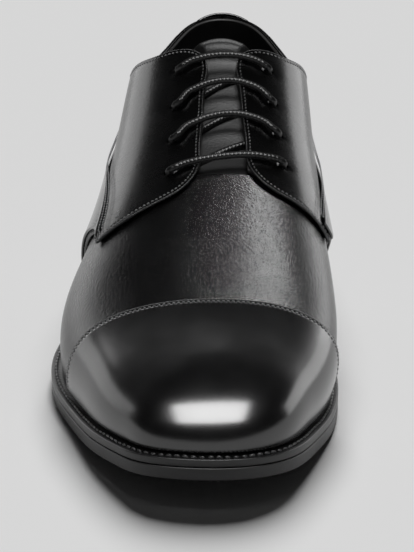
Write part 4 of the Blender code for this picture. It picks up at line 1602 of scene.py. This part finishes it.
@dataclass
class Lacing:
    """One round braided lace through the eight eyelets, straight bars over slanting runs."""

    last: Last
    sample: float = 0.14 * MM
    around: int = 20
    strands: int = 8
    braid: float = 0.16
    pick: float = 1.5 * MM
    over: float = FACET_GAP + QUARTER + LACE / 2 + GAP
    under: float = -(WALL + FACET_GAP + 0.45 * LACE)

    def at(self, y: float, offset: float, out: float) -> np.ndarray:
        """Point over the instep."""
        return self.last.instep(np.float64(y), np.float64(offset if abs(offset) > 1e-6 else 1e-6), out)

    def dive(self, side: Side, k: int) -> list[np.ndarray]:
        """Points down through an eyelet.

        Args:
            side: the eyelet's side.
            k: its number from the top.

        Returns:
            Points from over the facing to under the lining.
        """
        y, offset = eyelet_at(side, k)
        steps = ((-1.9 * MM, self.over - 0.15 * MM), (-0.55 * MM, self.over - 0.9 * MM),
                 (-0.05 * MM, 0.6 * MM), (-0.15 * MM, -0.9 * MM), (-0.9 * MM, self.under + 0.1 * MM))
        return [self.at(y, offset + side.value * step, out) for step, out in steps]

    def bar(self, k: int) -> list[np.ndarray]:
        """Points of a bar over the facings, bowed toward the heel.

        Args:
            k: its number from the top.

        Returns:
            Points from the lateral to the medial side.
        """
        ends = [eyelet_at(side, k) for side in Side]
        found = []
        for share in np.linspace(-0.72, 0.72, 9):
            arch = 1 - share ** 2
            y, offset = (a + (b - a) * (share + 1) / 2 for a, b in zip(*ends))
            found.append(self.at(y + LACE_BOWS[k] * arch, offset, self.over - LACE_SAG * arch ** 4))
        return found

    def run_under(self, k: int) -> list[np.ndarray]:
        """Points of a slanting run under the facings.

        Args:
            k: number of the medial eyelet where it ends; it starts at lateral eyelet k + 1.

        Returns:
            Points from the lateral to the medial side.
        """
        start, end = eyelet_at(Side.LATERAL, k + 1), eyelet_at(Side.MEDIAL, k)
        found = []
        for share in np.linspace(0.16, 0.84, 6):
            y, offset = (a + (b - a) * share for a, b in zip(start, end))
            found.append(self.at(y + 1.2 * MM * math.sin(math.pi * share), offset, self.under))
        return found

    def route(self) -> np.ndarray:
        """Centre line of the whole lace, splines over the chosen points' chord length.

        Returns:
            Points from under the medial facing to the top lateral eyelet.
        """
        last_eyelet = EYELET_COUNT - 1
        y, offset = eyelet_at(Side.MEDIAL, last_eyelet)
        points = [self.at(y + rise, offset - inward, self.under)
                  for rise, inward in ((24 * MM, 3.2 * MM), (16 * MM, 5.5 * MM), (9 * MM, 7.5 * MM),
                                       (4 * MM, 4.5 * MM))]
        points += self.dive(Side.MEDIAL, last_eyelet)[::-1]
        points += self.bar(last_eyelet)[::-1] + self.dive(Side.LATERAL, last_eyelet)
        for k in range(last_eyelet - 1, -1, -1):
            points += self.run_under(k) + self.dive(Side.MEDIAL, k)[::-1]
            points += self.bar(k)[::-1] + self.dive(Side.LATERAL, k)
        y, offset = eyelet_at(Side.LATERAL, 0)
        points += [self.at(y - 3 * MM, offset + 3 * MM, self.under)]
        knots = np.array(points)
        along = run_length(knots)
        curves = [Curve.through(list(zip(along, knots[:, axis]))) for axis in range(3)]
        fine = np.linspace(0, along[-1], int(along[-1] / self.sample))
        return np.stack([curve(fine) for curve in curves], axis=-1)

    def build(self) -> float:
        """Make and dress the lace.

        Two sets of strands wind against each other. At run s and turn t the phases are n t + k s and
        n t - k s. Each set's height is the size of the sine of half its phase, and the set on top
        changes from cell to cell of the two phases.

        Returns:
            The lace's length.
        """
        route = self.route()
        along = run_length(route)
        turn = np.linspace(0, 2 * math.pi, self.around, endpoint=False)
        wind = along[:, None] * 2 * math.pi / self.pick
        a, b = self.strands / 2 * turn + wind, self.strands / 2 * turn - wind
        on_top = (np.floor(a / (2 * math.pi)) + np.floor(b / (2 * math.pi))) % 2
        height = np.where(on_top > 0, np.abs(np.sin(a / 2)), np.abs(np.sin(b / 2)))
        radius = LACE / 2 * (1 - self.braid + self.braid * height)
        ends = np.minimum(along, along[-1] - along)
        radius = radius * np.sqrt(np.clip(1 - (1 - np.clip(ends / LACE, 0, 1)) ** 2, 0.02, 1))[:, None]
        across = np.tile([0.0, 1.0, 0.0], (len(route), 1))
        bars = [f"lace_bar_{k + 1}" for k in range(EYELET_COUNT)]
        Finish.CORD.dress(sweep_tube("braided_lace", route, across, radius), *bars)
        return float(along[-1])


def direction(azimuth: float, elevation: float) -> Vector:
    """Unit vector away from the shoe.

    Args:
        azimuth: degrees round from the toe's side (0) toward +X.
        elevation: degrees up from the floor.

    Returns:
        The vector.
    """
    a, e = math.radians(azimuth), math.radians(elevation)
    return Vector((math.sin(a) * math.cos(e), -math.cos(a) * math.cos(e), math.sin(e)))


@dataclass(frozen=True)
class Card:
    """A softbox by its direction from the shoe, distance, size and brightness.

    It lights only the pieces that are named, and every piece where none is.
    """

    name: str
    azimuth: float
    elevation: float
    distance: float
    size: tuple[float, float]
    radiance: float
    only: tuple[str, ...] = ()


# Pieces that a softbox lights, one group for each kind of shine
POLISHED_PIECES = ("straight_cap", "heel_foxing", "heel_tab", "leather_welt", "rubber_outsole")
GRAINED_PIECES = ("vamp", "lateral_quarter", "medial_quarter")
SMALL_PIECES = ("padded_tongue", "upper_stitches", "edge_rims", "braided_lace", "welt_stitches",
                "quarter_lining")

# Softboxes: direction in degrees, distance, width and height in metres, radiance, pieces
CARDS = (
    Card("front_softbox", 4, 58, 1.5, (1.35, 0.95), 10.0, POLISHED_PIECES),
    Card("back_wall", 180, 21, 2.4, (5.0, 1.5), 1.5, POLISHED_PIECES),
    Card("right_wall", 114, 10, 1.8, (1.4, 0.8), 2.0, POLISHED_PIECES),
    Card("left_wall", -120, 8, 1.8, (1.2, 0.7), 1.2, POLISHED_PIECES),
    Card("right_glow", 124, 12, 1.8, (1.9, 1.0), 2.1, GRAINED_PIECES),
    Card("left_glow", -124, 12, 1.8, (1.9, 1.0), 1.5, GRAINED_PIECES),
    Card("top_strip", 152, 58, 1.5, (0.34, 0.16), 32.0, ("vamp",)),
    Card("overhead", 20, 75, 1.5, (0.7, 0.7), 12.0, SMALL_PIECES),
)


@dataclass
class Studio:
    """Pale floor, soft lights and the camera."""

    last: Last
    distance: float = 0.6256
    elevation: float = 22.22
    azimuth: float = 2.147
    roll: float = math.radians(-0.1)
    focal: float = 1588.0
    image_height: float = 552.0
    sensor: float = 36.0
    aim_height: float = 0.050
    aim_right: float = -0.00177
    aim_up: float = -0.02915
    floor_size: float = 8.0
    grey: float = 0.80
    sun: float = 3.6
    sun_azimuth: float = 177
    sun_elevation: float = 46
    sun_spread: float = 28
    ambient: float = 0.02
    card_middle: float = -0.06

    def make_camera(self) -> None:
        """Camera at the photograph's angle; its focal length is given in image pixels."""
        back = direction(self.azimuth, self.elevation)
        right = (-back).cross(Vector((0, 0, 1))).normalized()
        up = right.cross(-back)
        target = Vector((0, 0, self.aim_height)) + right * self.aim_right + up * self.aim_up
        target += Vector(self.last.shift)
        data = bpy.data.cameras.new("camera")
        data.sensor_width = self.sensor
        data.lens = self.focal * self.sensor / self.image_height
        data.clip_start, data.clip_end = 0.01, 20
        camera = bpy.data.objects.new("camera", data)
        turn = Matrix((right, up, back)).transposed() @ Matrix.Rotation(self.roll, 3, "Z")
        camera.matrix_world = Matrix.Translation(target + back * self.distance) @ turn.to_4x4()
        bpy.context.scene.collection.objects.link(camera)
        bpy.context.scene.camera = camera

    def make_floor(self) -> None:
        """Plain pale floor, wide enough for every view."""
        corners = np.array([[-1, -1], [1, -1], [1, 1], [-1, 1]]) * self.floor_size / 2
        points = np.column_stack([corners, np.zeros(4)])
        floor = make_mesh("studio_floor", points, np.array([[0, 1, 2, 3]]))
        paint = Paint("studio_paper", {"Specular IOR Level": 0.0, "Roughness": 1.0})
        paint.shader.inputs["Base Color"].default_value = (self.grey, self.grey, self.grey, 1.0)
        floor.data.materials.append(paint.material)

    def add_sun(self) -> None:
        """Soft light on floor and shoe from behind, so that the shadow falls toward the camera."""
        data = bpy.data.lights.new("floor_light", "SUN")
        data.energy = self.sun
        data.angle = math.radians(self.sun_spread)
        light = bpy.data.objects.new("floor_light", data)
        away = direction(self.sun_azimuth, self.sun_elevation)
        light.rotation_euler = (-away).to_track_quat("-Z", "Y").to_euler()
        light.visible_glossy = False
        bpy.context.scene.collection.objects.link(light)

    def add_card(self, card: Card) -> None:
        """Hang a softbox that only shiny surfaces see.

        Args:
            card: its place, size, brightness and the pieces that it lights.
        """
        data = bpy.data.lights.new(card.name, "AREA")
        data.shape = "RECTANGLE"
        data.size, data.size_y = card.size
        data.energy = card.radiance * math.pi * card.size[0] * card.size[1]
        light = bpy.data.objects.new(card.name, data)
        away = direction(card.azimuth, card.elevation)
        light.location = away * card.distance + Vector((0, self.card_middle, 0))
        light.rotation_euler = (-away).to_track_quat("-Z", "Y").to_euler()
        light.visible_diffuse = False
        light.visible_camera = False
        bpy.context.scene.collection.objects.link(light)
        if card.only:
            receivers = bpy.data.collections.new(f"{card.name}_receivers")
            for piece in card.only:
                receivers.objects.link(bpy.data.objects[piece])
            light.light_linking.receiver_collection = receivers

    def build(self) -> None:
        """Set up the studio."""
        bpy.context.scene.view_settings.view_transform = "Standard"
        world = bpy.data.worlds.new("studio")
        world.use_nodes = True
        background = world.node_tree.nodes["Background"]
        background.inputs["Color"].default_value = (1, 1, 1, 1)
        background.inputs["Strength"].default_value = self.ambient
        bpy.context.scene.world = world
        self.make_camera()
        self.make_floor()
        self.add_sun()
        for card in CARDS:
            self.add_card(card)


def packed_shift(last: Last) -> np.ndarray:
    """Shift from the last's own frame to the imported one, from the outsole's outline.

    Args:
        last: the last.

    Returns:
        The shift, with no part along Z.
    """
    columns = 29
    angles = np.linspace(-math.pi, math.pi, 2 * columns - 1)
    plan = last.edge(angles, last.welt_out(angles))
    low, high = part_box("outsole")
    middle = (plan.min(axis=0) + plan.max(axis=0)) / 2
    return np.array([(low.x + high.x) / 2 - middle[0], (low.y + high.y) / 2 - middle[1], 0.0])


def main() -> None:
    """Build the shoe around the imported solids."""
    logging.basicConfig(level=logging.INFO, format="%(name)s: %(message)s")
    for old in list(bpy.data.objects):
        bpy.data.objects.remove(old)
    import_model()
    last = Last()
    last.shift = packed_shift(last)
    Bottom(last).build()
    Leathers(last).build()
    log.info("lace: %.3f m", Lacing(last).build())
    Studio(last).build()


if __name__ == "__main__":
    main()
